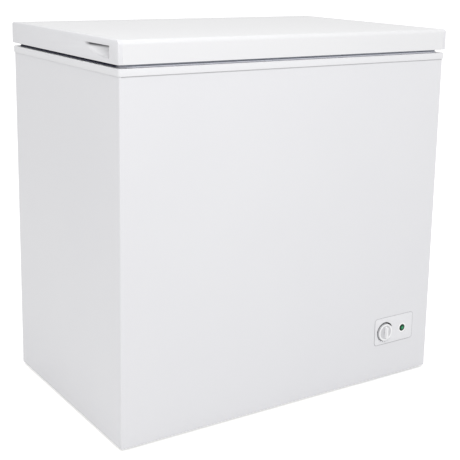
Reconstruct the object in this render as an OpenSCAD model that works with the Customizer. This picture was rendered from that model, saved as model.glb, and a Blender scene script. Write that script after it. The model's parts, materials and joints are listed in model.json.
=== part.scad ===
// Chest freezer: painted cabinet on four feet, foam-filled walls, a stepped liner over the
// compressor bay, and a foam-filled lid on two rear friction hinges.
// Frame: +Z up, front towards -Y, width along X, origin on the floor under the middle.

/* [Cabinet] */
// Width of the painted cabinet
cabinet_w = 850; // [700:10:1100]
// Depth of the painted cabinet, front to back
cabinet_d = 536; // [440:4:680]
// Height of the painted cabinet, from its lower edge to the lower edge of the top frame
cabinet_h = 769; // [630:1:950]
// Thickness of the cabinet's and the lid's sheet steel
sheet_t = 0.8; // [0.6:0.1:1.2]
// Outside radius of the cabinet's upright bends
bend_r = 3; // [2:0.5:6]
// Width of the flange that the steel wrap turns in at the back
wrap_flange = 14; // [8:1:20]
// Thickness of the insulated walls
wall_t = 58; // [50:1:75]
// Thickness of the insulated floor
floor_t = 62; // [50:1:75]

/* [Liner and top frame] */
// Thickness of the inner liner
liner_t = 1.2; // [0.8:0.1:2]
// Radius of the liner's upright corners
well_r = 18; // [10:1:40]
// Height of the top frame's outer band
frame_h = 15; // [15:1:26]
// Thickness of the top frame's moulding
frame_t = 2.5; // [2:0.1:3]
// How far the top frame stands out from the cabinet
frame_out = 2.3; // [1.5:0.1:4]
// Depth of the ledge below the top frame's upper face
ledge_drop = 12; // [8:1:14]
// How far the ledge's riser stands back from the well
ledge_back = 6; // [5:0.5:10]
// Height of the frame's lip inside the well
frame_lip = 16; // [10:1:24]

/* [Compressor bay] */
// Width of the bay at the right-hand end
bay_w = 215; // [190:5:240]
// Height of the bay above the cabinet's lower edge
bay_h = 262; // [240:2:300]
// Insulation between the bay and the well
bay_wall = 55; // [45:1:65]
// Radius of the compressor's shell
compressor_r = 66; // [55:1:74]
// Height of the compressor's shell
compressor_h = 152; // [135:1:170]
// Thickness of the tray that carries the compressor
tray_t = 1.5; // [1:0.1:2.5]
// Depth of the tray's turned-down edges
tray_edge = 6; // [4:0.5:8]
// Radius of the rubber grommets under the compressor
grommet_r = 12; // [10:0.5:14]
// Height of the rubber grommets
grommet_h = 18; // [14:1:24]

/* [Tubes] */
// Radius of the evaporator tube round the liner
evaporator_r = 4; // [3:0.25:4.5]
// Radius of the condenser tube behind the steel wrap
condenser_r = 2.5; // [2:0.25:3]
// Rise from one run of tube to the next
run_pitch = 56; // [48:1:60]
// Radius of the refrigerant tubes in the bay
pipe_r = 3; // [2.5:0.25:3.5]

/* [Controls] */
// Width of the control panel
panel_w = 120; // [110:1:130]
// Height of the control panel
panel_h = 66; // [60:1:80]
// How far the control panel stands out from the cabinet
panel_t = 1.2; // [1:0.1:2]
// Corner radius of the control panel
panel_r = 7; // [4:0.5:12]
// Distance from the panel's middle to the cabinet's right-hand side
panel_in = 111; // [100:1:125]
// Height of the panel's middle above the cabinet's lower edge
panel_up = 117.5; // [100:0.5:160]
// Radius of the thermostat knob
knob_r = 21; // [18:0.5:23]
// Thickness of the knob's disc
knob_t = 5; // [4:0.5:8]
// How far the knob's grip bar stands out from its disc
grip_h = 8; // [5:0.5:12]
// Width of the grip bar
grip_w = 8; // [6:0.5:10]
// Radius of the thermostat shaft
shaft_r = 3; // [2.5:0.25:4]
// Radius of the indicator lens
lens_r = 8.7; // [6:0.1:9.5]
// How far the lens stands out from the panel
lens_t = 2; // [1:0.25:4]

/* [Lid] */
// Thickness of the lid
lid_t = 47.5; // [42:0.5:60]
// How far the lid stands out from the cabinet on every side
lid_out = 3.7; // [3:0.1:6]
// Radius of the lid's long upper edges
lid_r = 10; // [6:0.5:14]
// Radius of the lid's upright and end edges
lid_edge_r = 2.5; // [1.5:0.25:4]
// Width of the plastic end caps
cap_t = 9.5; // [5:0.5:10]
// Gap between the lid and the top frame, filled by the gasket
gasket_gap = 7.5; // [6:0.5:10]
// Width of the gasket
gasket_w = 26; // [20:1:30]
// Distance from the cabinet's side to the gasket's outer edge
gasket_in = 3; // [2:0.5:6]
// How far the lid's plug reaches below the lid
plug_h = 24; // [18:1:30]
// Gap between the plug and the well's walls
plug_gap = 24; // [20:1:30]
// Length of the handle recess in each end cap
recess_l = 111; // [90:1:130]
// Depth of the handle recess at its front
recess_in = 22; // [18:1:24]
// Distance from the lid's front to the recess
recess_y = 38; // [30:1:60]
// Height of the recess's upper edge above the lid's lower edge
recess_z = 34; // [32:0.5:35]
// Radius of the scoop that forms the recess
scoop_r = 26; // [25:0.5:27]

/* [Hinges] */
// Distance from each hinge to the cabinet's side
hinge_in = 130; // [100:5:180]
// Distance of the hinge pin behind the cabinet
pin_back = 15; // [13:0.5:18]
// Height of the hinge pin above the lid's lower edge
pin_up = 4; // [3:0.5:6]
// Radius of the hinge pin
pin_r = 3; // [2.5:0.25:3.5]
// Length of the lid leaf's knuckle
knuckle_l = 26; // [20:1:34]
// How far the hinge covers stand out behind the cabinet
cover_d = 26; // [26:0.5:30]

/* [Feet and drain] */
// Height of the cabinet's lower edge above the floor
foot_h = 6; // [4:0.5:12]
// Radius of the feet
foot_r = 18; // [14:0.5:20]
// Distance from the cabinet's sides to the feet's middles
foot_in = 40; // [34:1:50]
// Radius of the drain's bore
drain_r = 6; // [5:0.25:8]

/* [Basket] */
// Length of the wire basket, along the freezer
basket_l = 236; // [200:2:260]
// Depth of the wire basket, top to bottom
basket_h = 190; // [150:2:210]
// Thickness of the basket's wire walls
basket_t = 2.5; // [2:0.1:4]
// Gap between the basket and the well's front and rear walls
basket_gap = 14; // [12:0.5:20]

/* [Hidden] */
$fn = 48;

// clearances
run_fit = 0.05;
gap = 0.4;
eps = 1;

// heights
base_z = foot_h;
shell_top = base_z + cabinet_h + frame_h - frame_t;
frame_z = base_z + cabinet_h;
frame_top = frame_z + frame_h;
ledge_z = frame_top - ledge_drop;
floor_z = base_z + floor_t;
bay_z = base_z + bay_h;
step_z = bay_z + bay_wall;
lid_z = frame_top + gasket_gap;

// the knob stands out in front and the hinge covers behind, and the origin is midway
front_out = panel_t + gap + knob_t + grip_h;
mid_y = (front_out - cover_d) / 2;
front_y = mid_y - cabinet_d / 2;
back_y = mid_y + cabinet_d / 2;
rear_face = back_y - sheet_t;
foam_back = rear_face - sheet_t;
side_x = cabinet_w / 2;
bay_x = side_x - bay_w;
step_x = bay_x - bay_wall;

// the well
well_w = cabinet_w - 2 * wall_t;
well_d = cabinet_d - 2 * wall_t;

// tubes
coil_slack = 0.4;
evaporator_out = liner_t + coil_slack + evaporator_r;
evaporator_z = step_z + 36;
evaporator_runs = 2 * floor((ledge_z - frame_lip - 24 - evaporator_z) / run_pitch / 2) + 2;
evaporator_bend = well_r + evaporator_out;
evaporator_end = run_pitch / 2 + 18;
condenser_in = sheet_t + coil_slack + condenser_r;
condenser_z = bay_z + 44;
condenser_runs = 2 * floor((frame_z - 30 - condenser_z) / run_pitch / 2) + 2;
condenser_bend = 16;
condenser_end = foam_back - run_pitch / 2 - 22;
evaporator_top = evaporator_z + (evaporator_runs - 1) * run_pitch;
condenser_top = condenser_z + (condenser_runs - 1) * run_pitch;
evaporator_y = mid_y + well_d / 2 + evaporator_out;

// the bay's contents
tray_z = base_z + tray_edge;
tray_top = tray_z + tray_t;
compressor_x = bay_x + bay_w / 2 + 4;
compressor_y = mid_y + 24;
plate_z = tray_top + grommet_h - 4;
plate_t = 3;
mount_x = 58;
mount_y = 78;
bolt_r = 3;
can_z = plate_z + plate_t;
drier_x = side_x - 30;
drier_y = mid_y + 150;
drier_r = 9.5;
drier_l = 104;
drier_z = tray_top + 84;
relay_t = 26;
relay_w = 58;
relay_x = compressor_x - compressor_r - relay_t + 4;
relay_z = can_z + 46;
block_x = bay_x + gap;
block_y = mid_y + 150;
block_z = base_z + 120;
block_size = [22, 50, 26];

// controls
panel_x = side_x - panel_in;
panel_z = base_z + panel_up;
knob_x = panel_x - 29.5;
knob_z = panel_z - 2.5;
lens_x = panel_x + 27;
lens_z = panel_z - 2.2;
window_in = 7;
panel_face = front_y - panel_t;
thermostat_size = [46, 30, 46];
bush_r = shaft_r + 3;

// drain
drain_x = -well_w / 2 + 70;
drain_y = mid_y - well_d / 2 + 70;
drain_z = base_z + 26;
drain_wall = 2;
drain_plug_r = 17;

// hinges
hinge_x = side_x - hinge_in;
pin_y = back_y + pin_back;
pin_z = lid_z + pin_up;
washer_t = 1;
ear_t = 2.5;
ear_r = 8;
ear_gap = knuckle_l / 2 + washer_t + 0.2;
knuckle_r = 6.5;
leaf_t = 2;
leaf_w = 58;
plate_w = 62;
plate_h = 64;
plate_low = frame_z - plate_h - 6;
bracket_t = 2.5;
hinge_cover_w = 78;
hinge_cover_t = 2;

// lid
lid_w = cabinet_w + 2 * lid_out;
lid_d = cabinet_d + 2 * lid_out;
cap_x = lid_w / 2 - cap_t;
plug_w = well_w - 2 * plug_gap;
plug_d = well_d - 2 * plug_gap;
plug_r = well_r - 4;
liner_plate = 1.5;
cap_wall = 2.5;
magnet_w = 9;
magnet_t = 3;
recess_front = mid_y - lid_d / 2 + recess_y;

// basket
basket_x = well_w / 2 - 8;
basket_half = well_d / 2 - basket_gap;
basket_top = ledge_z - 8;
hook_r = 2;
hook_z = ledge_z + hook_r + 0.3;
hook_y = well_d / 2 + ledge_back - hook_r - 2.5;

// ---- shared shapes ----

// rectangle with round corners, centred
module rounded(w, d, r) {
    square([w - 2 * r, d], center = true);
    square([w, d - 2 * r], center = true);
    for (x = [-1, 1], y = [-1, 1])
        translate([x * (w / 2 - r), y * (d / 2 - r)]) circle(r);
}

// upright prism on the cabinet's middle, from z0 to z1
module prism(w, d, r, z0, z1) {
    translate([0, mid_y, z0]) linear_extrude(z1 - z0) rounded(w, d, r);
}

// upright ring on the cabinet's middle
module band(w, d, r, t, z0, z1) {
    translate([0, mid_y, z0]) linear_extrude(z1 - z0) difference() {
        rounded(w, d, r);
        rounded(w - 2 * t, d - 2 * t, r - t);
    }
}

// block between two opposite corners
module block(low, high) {
    translate(low) cube(high - low);
}

// rod along X, Y or Z from its starting point
module rod_x(p, r, l) {
    translate(p) rotate([0, 90, 0]) cylinder(r = r, h = l);
}
module rod_y(p, r, l) {
    translate(p) rotate([-90, 0, 0]) cylinder(r = r, h = l);
}
module rod_z(p, r, l) {
    translate(p) cylinder(r = r, h = l);
}

// the space that the liner fills, grown outwards
module well(grow) {
    difference() {
        prism(well_w + 2 * grow, well_d + 2 * grow, well_r + grow, floor_z - grow, frame_top + eps);
        block([step_x + grow, front_y, 0], [side_x, back_y, step_z - grow]);
    }
}

// quarter bend in the horizontal plane, centre at p, starting at angle a
module bend(p, a, bend, r) {
    translate(p) rotate([0, 0, a]) rotate_extrude(angle = 90) translate([bend, 0]) circle(r);
}

// half bend that joins a run to the one above it, bulging along the direction a
module turn(p, a, r) {
    translate(p) rotate([0, 0, a]) rotate([90, 0, 0]) rotate([0, 0, -90])
        rotate_extrude(angle = 180) translate([run_pitch / 2, 0]) circle(r);
}

// round tube swept along points, with flat ends
function unit(v) = v / norm(v);
function ring_dir(path, i) = unit(
    (i > 0 ? unit(path[i] - path[i - 1]) : [0, 0, 0])
    + (i < len(path) - 1 ? unit(path[i + 1] - path[i]) : [0, 0, 0]));
function side_dir(d) = unit(cross(d, abs(d[2]) < 0.8 ? [0, 0, 1] : [0.6, 0.8, 0]));
function carried(d, s) = unit(s - (s * d) * d);
function frames(path, i = 0, s = undef, out = []) =
    i == len(path) ? out : frames(path, i + 1,
        carried(ring_dir(path, i), is_undef(s) ? side_dir(ring_dir(path, 0)) : s),
        concat(out, [carried(ring_dir(path, i), is_undef(s) ? side_dir(ring_dir(path, 0)) : s)]));
module swept(path, r, sides = 10) {
    across = frames(path);
    points = [for (i = [0:len(path) - 1], k = [0:sides - 1])
        let (u = across[i], v = cross(ring_dir(path, i), across[i]), a = 360 * k / sides)
        path[i] + r * (cos(a) * u + sin(a) * v)];
    last = (len(path) - 1) * sides;
    polyhedron(points, concat(
        [[for (k = [0:sides - 1]) k]],
        [for (i = [0:len(path) - 2], k = [0:sides - 1])
            let (n = (k + 1) % sides)
            [i * sides + k, i * sides + sides + k, i * sides + sides + n, i * sides + n]],
        [[for (k = [sides - 1:-1:0]) last + k]]));
}

// points along a path of straight runs, with its corners rounded to a radius
function corner(a, b, c, r, n) =
    let (u = unit(a - b), v = unit(c - b), half = acos(u * v) / 2, cut = r / tan(half))
    [for (i = [0:n])
        let (m = b + unit(u + v) * (r / sin(half)), f = i / n,
            p = b + u * cut - m, q = b + v * cut - m, w = 180 - 2 * half)
        m + (sin((1 - f) * w) * p + sin(f * w) * q) / sin(w)];
function routed(p, r, n = 4) = concat([p[0]],
    [for (i = [1:len(p) - 2]) each corner(p[i - 1], p[i], p[i + 1], r, n)],
    [p[len(p) - 1]]);

// pan-head screw, head outwards along +Z
module screw(r, l) {
    cylinder(r = 2 * r, h = 1.2 * r);
    translate([0, 0, -l]) cylinder(r = r, h = l);
}

// ---- cabinet ----

module outer_shell() {
    color([0.94, 0.94, 0.95]) difference() {
        band(cabinet_w, cabinet_d, bend_r, sheet_t, base_z, shell_top);
        block([-side_x + wrap_flange, back_y - wall_t / 2, 0],
            [side_x - wrap_flange, back_y + eps, shell_top + eps]);
        translate([panel_x, front_y + wall_t / 2, panel_z]) rotate([90, 0, 0])
            linear_extrude(wall_t) rounded(panel_w - 2 * window_in, panel_h - 2 * window_in, panel_r);
    }
}

module rear_panel() {
    inner = side_x - bend_r - 1;
    color([0.78, 0.79, 0.8]) difference() {
        block([-inner, foam_back, base_z], [inner, rear_face, shell_top]);
        block([cover_x0 + cover_edge, foam_back - eps, cover_z0 + cover_edge],
            [cover_x1 - cover_edge, rear_face + eps, cover_z1 - cover_edge]);
        rod_y([drain_x, foam_back - eps, drain_z], drain_r + drain_wall + gap, 4);
    }
}

module base_pan() {
    left = -side_x + bend_r;
    right = side_x - bend_r;
    color([0.72, 0.73, 0.74]) difference() {
        translate([0, foam_back, 0]) rotate([90, 0, 0]) linear_extrude(foam_back - front_y - bend_r)
            polygon([[left, base_z], [bay_x, base_z], [bay_x, bay_z], [right, bay_z],
                [right, bay_z + sheet_t], [bay_x - sheet_t, bay_z + sheet_t],
                [bay_x - sheet_t, base_z + sheet_t], [left, base_z + sheet_t]]);
        pipe_holes();
    }
}

// where the tubes and the sensor pass from the bay into the foam
channel_x = bay_x + 40;
channel_y = foam_back - 16;
drop_x = side_x - condenser_in;
drop_y = foam_back - 12;
sensor_x = knob_x;
sensor_y = front_y + wall_t + 26;
module pipe_holes() {
    block([channel_x - 14, channel_y - 7, bay_z - eps],
        [channel_x + 14, channel_y + 10, bay_z + 2 * sheet_t]);
    block([drop_x - 5, condenser_end - 6, bay_z - eps], [side_x, drop_y + 6, bay_z + 2 * sheet_t]);
    rod_z([sensor_x, sensor_y, bay_z - eps], 4, 3);
}

// room in the foam for the tube round the liner
module evaporator_room() {
    half = evaporator_r + coil_slack;
    deep = 2 * half;
    wall_y = mid_y + well_d / 2 + liner_t;
    for (i = [0:evaporator_runs - 1])
        prism(well_w + 2 * (liner_t + deep), well_d + 2 * (liner_t + deep), well_r + liner_t + deep,
            evaporator_z + i * run_pitch - half, evaporator_z + i * run_pitch + half);
    block([-evaporator_end - 4, wall_y - eps, evaporator_z - half],
        [evaporator_end + 4, wall_y + deep, evaporator_top + half]);
    block([-evaporator_end - 4, wall_y + deep - eps, evaporator_z - half - 6],
        [channel_x + 14, foam_back - 6, evaporator_z + half + 6]);
    block([channel_x - 14, channel_y - 9, bay_z - eps], [channel_x + 14, foam_back - 6, evaporator_z]);
    block([evaporator_end - 14, wall_y + deep - eps, evaporator_z],
        [evaporator_end + 4, foam_back - 6, evaporator_top + half + 6]);
}

// room in the foam for the tube behind the steel wrap
module condenser_room() {
    half = condenser_r + coil_slack;
    deep = 2 * half;
    for (i = [0:condenser_runs - 1]) {
        z = condenser_z + i * run_pitch;
        difference() {
            prism(cabinet_w + 2, cabinet_d + 2, bend_r + 1, z - half, z + half);
            prism(cabinet_w - 2 * (sheet_t + deep), cabinet_d - 2 * (sheet_t + deep), condenser_bend - half,
                z - 10, z + 10);
            block([-side_x - 2, condenser_end, z - 10], [side_x + 2, back_y + 2, z + 10]);
        }
    }
    for (s = [-1, 1])
        block([s > 0 ? side_x - sheet_t - deep : -side_x, condenser_end - eps, condenser_z - half],
            [s > 0 ? side_x : -side_x + sheet_t + deep, foam_back - 8, condenser_top + half]);
    block([side_x - sheet_t - deep, condenser_end - 6, bay_z - eps],
        [side_x, drop_y + 6, condenser_top + 8]);
}

// the whole pour of foam in the cabinet
module foam_pour() {
    inner_r = bend_r - sheet_t;
    riser = ledge_back + frame_t;
    difference() {
        prism(cabinet_w - 2 * sheet_t, cabinet_d - 2 * sheet_t, inner_r, base_z + sheet_t, shell_top);
        block([-side_x, foam_back, 0], [side_x, back_y + eps, shell_top + eps]);
        block([bay_x - sheet_t, front_y, 0], [side_x, back_y, bay_z + sheet_t]);
        well(liner_t);
        prism(well_w + 2 * riser, well_d + 2 * riser, well_r + riser, ledge_z - frame_t, shell_top + eps);
        evaporator_room();
        condenser_room();
        rod_z([sensor_x, sensor_y, bay_z - eps], 4, step_z - bay_z);
        drain_room();
    }
}

// the foam's faces against the liner, where the pour is divided into its walls
foam_x = well_w / 2 + liner_t;
foam_y = well_d / 2 + liner_t;
foam_floor_z = floor_z - liner_t;
foam_step_z = step_z - liner_t;
foam_step_x = step_x + liner_t;
foam_top = shell_top + eps;
corner_in = well_r + liner_t + 1;
corner_out = 2;

// upright columns of foam behind the well's round corners
module corner_columns() {
    for (s = [-1, 1], t = [-1, 1]) {
        x = [s * (foam_x - corner_in), s * (foam_x + corner_out)];
        y = [mid_y + t * (foam_y - corner_in), mid_y + t * (foam_y + corner_out)];
        block([min(x), min(y), s < 0 ? foam_floor_z : foam_step_z], [max(x), max(y), foam_top]);
    }
}

// the part of the pour between two opposite corners, less the columns
module foam_wall(low, high) {
    difference() {
        intersection() {
            foam_pour();
            block(low, high);
        }
        corner_columns();
    }
}

module foam_left() {
    color([0.93, 0.86, 0.66]) foam_wall([-side_x, front_y, 0], [-foam_x, back_y, foam_top]);
}

module foam_right() {
    color([0.93, 0.86, 0.66]) foam_wall([foam_x, front_y, 0], [side_x, back_y, foam_top]);
}

module foam_front() {
    color([0.93, 0.86, 0.66]) foam_wall([-foam_x, front_y, 0], [foam_x, mid_y - foam_y, foam_top]);
}

module foam_rear() {
    color([0.93, 0.86, 0.66]) foam_wall([-foam_x, mid_y + foam_y, 0], [foam_x, back_y, foam_top]);
}

module foam_floor() {
    color([0.93, 0.86, 0.66]) foam_wall([-foam_x, mid_y - foam_y, 0],
        [foam_step_x, mid_y + foam_y, foam_floor_z]);
}

module foam_step() {
    color([0.93, 0.86, 0.66]) foam_wall([foam_step_x, mid_y - foam_y, 0],
        [foam_x, mid_y + foam_y, foam_step_z]);
}

module foam_corners() {
    color([0.93, 0.86, 0.66]) intersection() {
        foam_pour();
        corner_columns();
    }
}

module inner_liner() {
    color([0.9, 0.92, 0.93]) difference() {
        intersection() {
            well(liner_t);
            block([-side_x, front_y, 0], [side_x, back_y, ledge_z - frame_t]);
        }
        well(0);
        rod_z([drain_x, drain_y, floor_z - 2 * liner_t], drain_r + drain_wall + gap, 4 * liner_t);
    }
}

module top_frame() {
    riser = ledge_back + frame_t;
    color([0.95, 0.95, 0.95]) {
        difference() {
            prism(cabinet_w + 2 * frame_out, cabinet_d + 2 * frame_out, bend_r + frame_out, frame_z,
                frame_top);
            prism(cabinet_w, cabinet_d, bend_r, frame_z - eps, shell_top);
            prism(well_w + 2 * ledge_back, well_d + 2 * ledge_back, well_r + ledge_back, frame_z,
                frame_top + eps);
        }
        band(well_w + 2 * riser, well_d + 2 * riser, well_r + riser, frame_t, ledge_z - frame_t,
            shell_top + frame_t / 2);
        band(well_w + 2 * riser, well_d + 2 * riser, well_r + riser, riser + frame_t, ledge_z - frame_t,
            ledge_z);
        band(well_w, well_d, well_r, frame_t, ledge_z - frame_lip, ledge_z);
    }
}

module evaporator_coil() {
    w = well_w / 2 + evaporator_out;
    d = well_d / 2 + evaporator_out;
    b = evaporator_bend;
    color([0.75, 0.5, 0.35]) {
        for (i = [0:evaporator_runs - 1]) {
            z = evaporator_z + i * run_pitch;
            rod_x([-w + b, mid_y - d, z], evaporator_r, 2 * (w - b));
            for (s = [-1, 1]) {
                rod_y([s * w, mid_y - d + b, z], evaporator_r, 2 * (d - b));
                rod_x([s > 0 ? evaporator_end : -w + b, mid_y + d, z], evaporator_r,
                    w - b - evaporator_end);
                bend([s * (w - b), mid_y - d + b, z], s > 0 ? 270 : 180, b, evaporator_r);
                bend([s * (w - b), mid_y + d - b, z], s > 0 ? 0 : 90, b, evaporator_r);
            }
        }
        for (i = [0:evaporator_runs - 2])
            turn([i % 2 == 0 ? -evaporator_end : evaporator_end, mid_y + d,
                evaporator_z + (i + 0.5) * run_pitch],
                i % 2 == 0 ? 0 : 180, evaporator_r);
    }
}

module condenser_coil() {
    w = side_x - condenser_in;
    d = cabinet_d / 2 - condenser_in;
    b = condenser_bend;
    color([0.3, 0.3, 0.32]) {
        for (i = [0:condenser_runs - 1]) {
            z = condenser_z + i * run_pitch;
            rod_x([-w + b, mid_y - d, z], condenser_r, 2 * (w - b));
            for (s = [-1, 1]) {
                rod_y([s * w, mid_y - d + b, z], condenser_r, condenser_end - (mid_y - d + b));
                bend([s * (w - b), mid_y - d + b, z], s > 0 ? 270 : 180, b, condenser_r);
            }
        }
        for (i = [0:condenser_runs - 2])
            turn([i % 2 == 0 ? -w : w, condenser_end, condenser_z + (i + 0.5) * run_pitch], 90,
                condenser_r);
    }
}

module foot_places() {
    for (x = [-1, 1], y = [-1, 1])
        translate([x * (side_x - foot_in), mid_y + y * (cabinet_d / 2 - foot_in), 0]) children();
}

module feet() {
    color([0.16, 0.16, 0.17]) foot_places() difference() {
        union() {
            cylinder(r = foot_r - 3, h = 2);
            translate([0, 0, 2]) cylinder(r = foot_r, h = base_z - 2);
        }
        cylinder(r = 5.5, h = 3);
        cylinder(r = 2.2, h = base_z + eps);
    }
}

module foot_screws() {
    color([0.7, 0.7, 0.72]) foot_places() {
        translate([0, 0, 0.6]) cylinder(r = 4, h = 2.4);
        translate([0, 0, 3]) cylinder(r = 2, h = base_z - 3);
    }
}

// ---- compressor bay ----

module compressor_tray() {
    left = bay_x + gap;
    right = side_x - bend_r;
    front = front_y + bend_r + 2;
    rear = foam_back - gap;
    color([0.7, 0.71, 0.72]) difference() {
        block([left, front, base_z], [right, rear, tray_top]);
        block([left + tray_t, front + tray_t, 0], [right - tray_t, rear - tray_t, tray_z]);
        for (i = [0:4])
            block([left + 24, front + 40 + i * 20, tray_z - eps],
                [right - 24, front + 48 + i * 20, tray_top + eps]);
        mount_places() translate([0, 0, tray_z - eps]) cylinder(r = bolt_r + 0.2, h = tray_t + 2 * eps);
    }
}

module mount_places() {
    for (x = [-1, 1], y = [-1, 1])
        translate([compressor_x + x * mount_x, compressor_y + y * mount_y, 0]) children();
}

module compressor() {
    r = compressor_r;
    dome = 34;
    low = can_z + dome;
    high = can_z + compressor_h - dome;
    color([0.1, 0.1, 0.11]) translate([compressor_x, compressor_y, 0]) {
        translate([0, 0, low]) cylinder(r = r, h = high - low);
        translate([0, 0, (low + high) / 2 - 4]) cylinder(r = r + 3, h = 8);
        for (end = [[high, 0], [low, 180]])
            translate([0, 0, end[0]]) rotate([end[1], 0, 0]) rotate_extrude() {
                square([r - dome + 0.01, dome]);
                intersection() {
                    translate([r - dome, 0]) circle(dome);
                    square([r, dome]);
                }
            }
        difference() {
            translate([-mount_x - 16, -mount_y - 16, plate_z])
                cube([2 * mount_x + 32, 2 * mount_y + 32, plate_t]);
            for (x = [-1, 1], y = [-1, 1])
                translate([x * mount_x, y * mount_y, plate_z - eps])
                    cylinder(r = grommet_r - 4, h = plate_t + 2 * eps);
        }
        translate([0, 0, plate_z + plate_t / 2]) cylinder(r = r * 0.7, h = dome);
    }
}

module compressor_grommets() {
    color([0.08, 0.08, 0.09]) mount_places() translate([0, 0, tray_top]) difference() {
        union() {
            cylinder(r = grommet_r, h = grommet_h - 4);
            cylinder(r = grommet_r - 4.2, h = grommet_h);
            translate([0, 0, grommet_h - 1]) cylinder(r = grommet_r - 1, h = 3);
        }
        translate([0, 0, -eps]) cylinder(r = bolt_r + 0.2, h = grommet_h + 4);
    }
}

module compressor_bolts() {
    color([0.75, 0.75, 0.76]) mount_places() {
        translate([0, 0, tray_z - 3]) cylinder(r = bolt_r, h = grommet_h + 10);
        translate([0, 0, tray_z - 3.5]) cylinder(r = 6, h = 3.5, $fn = 6);
        translate([0, 0, tray_top + grommet_h + 2]) cylinder(r = 7, h = 1.2);
        translate([0, 0, tray_top + grommet_h + 3.2]) cylinder(r = 5.5, h = 4, $fn = 6);
    }
}

module relay_cover() {
    color([0.12, 0.12, 0.13]) difference() {
        block([relay_x, compressor_y - relay_w / 2, relay_z],
            [relay_x + relay_t + 20, compressor_y + relay_w / 2, relay_z + 56]);
        translate([compressor_x, compressor_y, can_z])
            cylinder(r = compressor_r + 3 + gap, h = compressor_h);
        block([relay_x + 2, compressor_y - relay_w / 2 + 2, relay_z + 2],
            [relay_x + relay_t + 30, compressor_y + relay_w / 2 - 2, relay_z + 54]);
    }
}

module filter_drier() {
    color([0.78, 0.5, 0.34]) translate([drier_x, drier_y, drier_z]) {
        cylinder(r = drier_r, h = drier_l);
        translate([0, 0, drier_l]) cylinder(r1 = drier_r, r2 = condenser_r + 1, h = 10);
        translate([0, 0, -10]) cylinder(r1 = condenser_r + 1, r2 = drier_r, h = 10);
    }
}

capillary_r = 1.2;
capillary_coil = [drier_x - 4, drier_y - 44, drier_z + 20];
module capillary_tube() {
    c = capillary_coil;
    turns = 3;
    steps = 12;
    loops = [for (i = [0:turns * steps])
        let (a = 90 + i * 360 / steps)
        c + [14 * cos(a), 22 * sin(a), 44 + i * 3.4 * 2 * capillary_r / steps]];
    start = [drier_x, drier_y, drier_z - 10];
    line_y = channel_y + 7;
    last = loops[len(loops) - 1];
    path = concat(
        routed([start, start - [0, 0, 14], c + [16, 34, start[2] - 14 - c[2]], c + [16, 34, 30],
            loops[0]], 6, 3),
        [for (i = [1:len(loops) - 2]) loops[i]],
        routed([last, last + [-30, 0, 6], [channel_x + 7, line_y, last[2] + 20],
            [channel_x + 7, line_y, evaporator_z],
            [evaporator_end - 8, line_y, evaporator_z], [evaporator_end - 8, line_y, evaporator_top],
            [evaporator_end - 8, evaporator_y, evaporator_top],
                [evaporator_end, evaporator_y, evaporator_top]], 5, 3));
    color([0.78, 0.5, 0.34]) swept(path, capillary_r, 8);
}

module suction_tube() {
    start = [compressor_x - 18, compressor_y + compressor_r - 9, can_z + compressor_h * 0.62];
    color([0.78, 0.5, 0.34]) swept(routed([start, start + [0, 34, 0], start + [0, 34, 40],
        [channel_x - 6, channel_y, start[2] + 40], [channel_x - 6, channel_y, evaporator_z],
        [evaporator_end - 20, channel_y, evaporator_z], [evaporator_end - 20, evaporator_y, evaporator_z],
        [evaporator_end, evaporator_y, evaporator_z]], 8), pipe_r);
}

module discharge_tube() {
    start = [compressor_x + 26, compressor_y + compressor_r - 14, can_z + compressor_h * 0.45];
    up = bay_z - 16;
    rise_y = condenser_end + 14;
    color([0.78, 0.5, 0.34]) swept(routed([start, start + [0, 28, 0], [start[0], start[1] + 28, up],
        [drop_x, rise_y, up], [drop_x, rise_y, condenser_z], [drop_x, condenser_end, condenser_z]], 8),
            condenser_r);
}

module liquid_tube() {
    low = drier_z + drier_l + 10;
    color([0.78, 0.5, 0.34]) swept(routed([[drop_x, condenser_end, condenser_top],
        [drop_x, drop_y, condenser_top],
        [drop_x, drop_y, low + 22], [drier_x, drier_y, low + 22], [drier_x, drier_y, low]], 8),
            condenser_r);
}

module process_tube() {
    start = [compressor_x + 10, compressor_y - compressor_r + 12, can_z + compressor_h * 0.62];
    color([0.78, 0.5, 0.34]) swept(routed([start, start - [0, 36, 0], start + [0, -36, 46]], 8), pipe_r);
}

cover_x0 = bay_x + 6;
cover_x1 = side_x - wrap_flange - 1;
cover_z0 = base_z + 4;
cover_z1 = bay_z - 6;
cover_plate = 1.2;
cover_edge = 8;
gland_x = cover_x0 + 24;
gland_z = cover_z0 + 30;
gland_r = 8;
cord_r = 4;
module compressor_cover() {
    slots = 12;
    slot_pitch = (cover_z1 - cover_z0 - 90) / slots;
    color([0.2, 0.2, 0.21]) difference() {
        block([cover_x0, rear_face, cover_z0], [cover_x1, rear_face + cover_plate, cover_z1]);
        for (i = [0:slots - 1], s = [0, 1])
            block([cover_x0 + 22 + s * 88, rear_face - eps, cover_z0 + 66 + i * slot_pitch],
                [cover_x0 + 96 + s * 82, rear_face + 2 * eps + cover_plate,
                    cover_z0 + 66 + (i + 0.5) * slot_pitch]);
        rod_y([gland_x, rear_face - eps, gland_z], gland_r, 4);
        cover_screw_places() cylinder(r = 2.2, h = 6, center = true);
    }
}

module cover_screw_places() {
    for (x = [cover_x0 + 4, cover_x1 - 4], z = [cover_z0 + 4, (cover_z0 + cover_z1) / 2, cover_z1 - 4])
        translate([x, rear_face + cover_plate, z]) rotate([-90, 0, 0]) children();
}

module cover_screws() {
    color([0.75, 0.75, 0.76]) cover_screw_places() screw(2, 1.2);
}

module cord_grommet() {
    color([0.06, 0.06, 0.07]) translate([gland_x, rear_face, gland_z]) rotate([-90, 0, 0]) difference() {
        union() {
            translate([0, 0, -2]) cylinder(r = gland_r + 3, h = 2);
            cylinder(r = gland_r, h = cover_plate);
            translate([0, 0, cover_plate]) cylinder(r = gland_r + 3, h = 2.5);
        }
        translate([0, 0, -4]) cylinder(r = cord_r, h = 12);
    }
}

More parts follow.
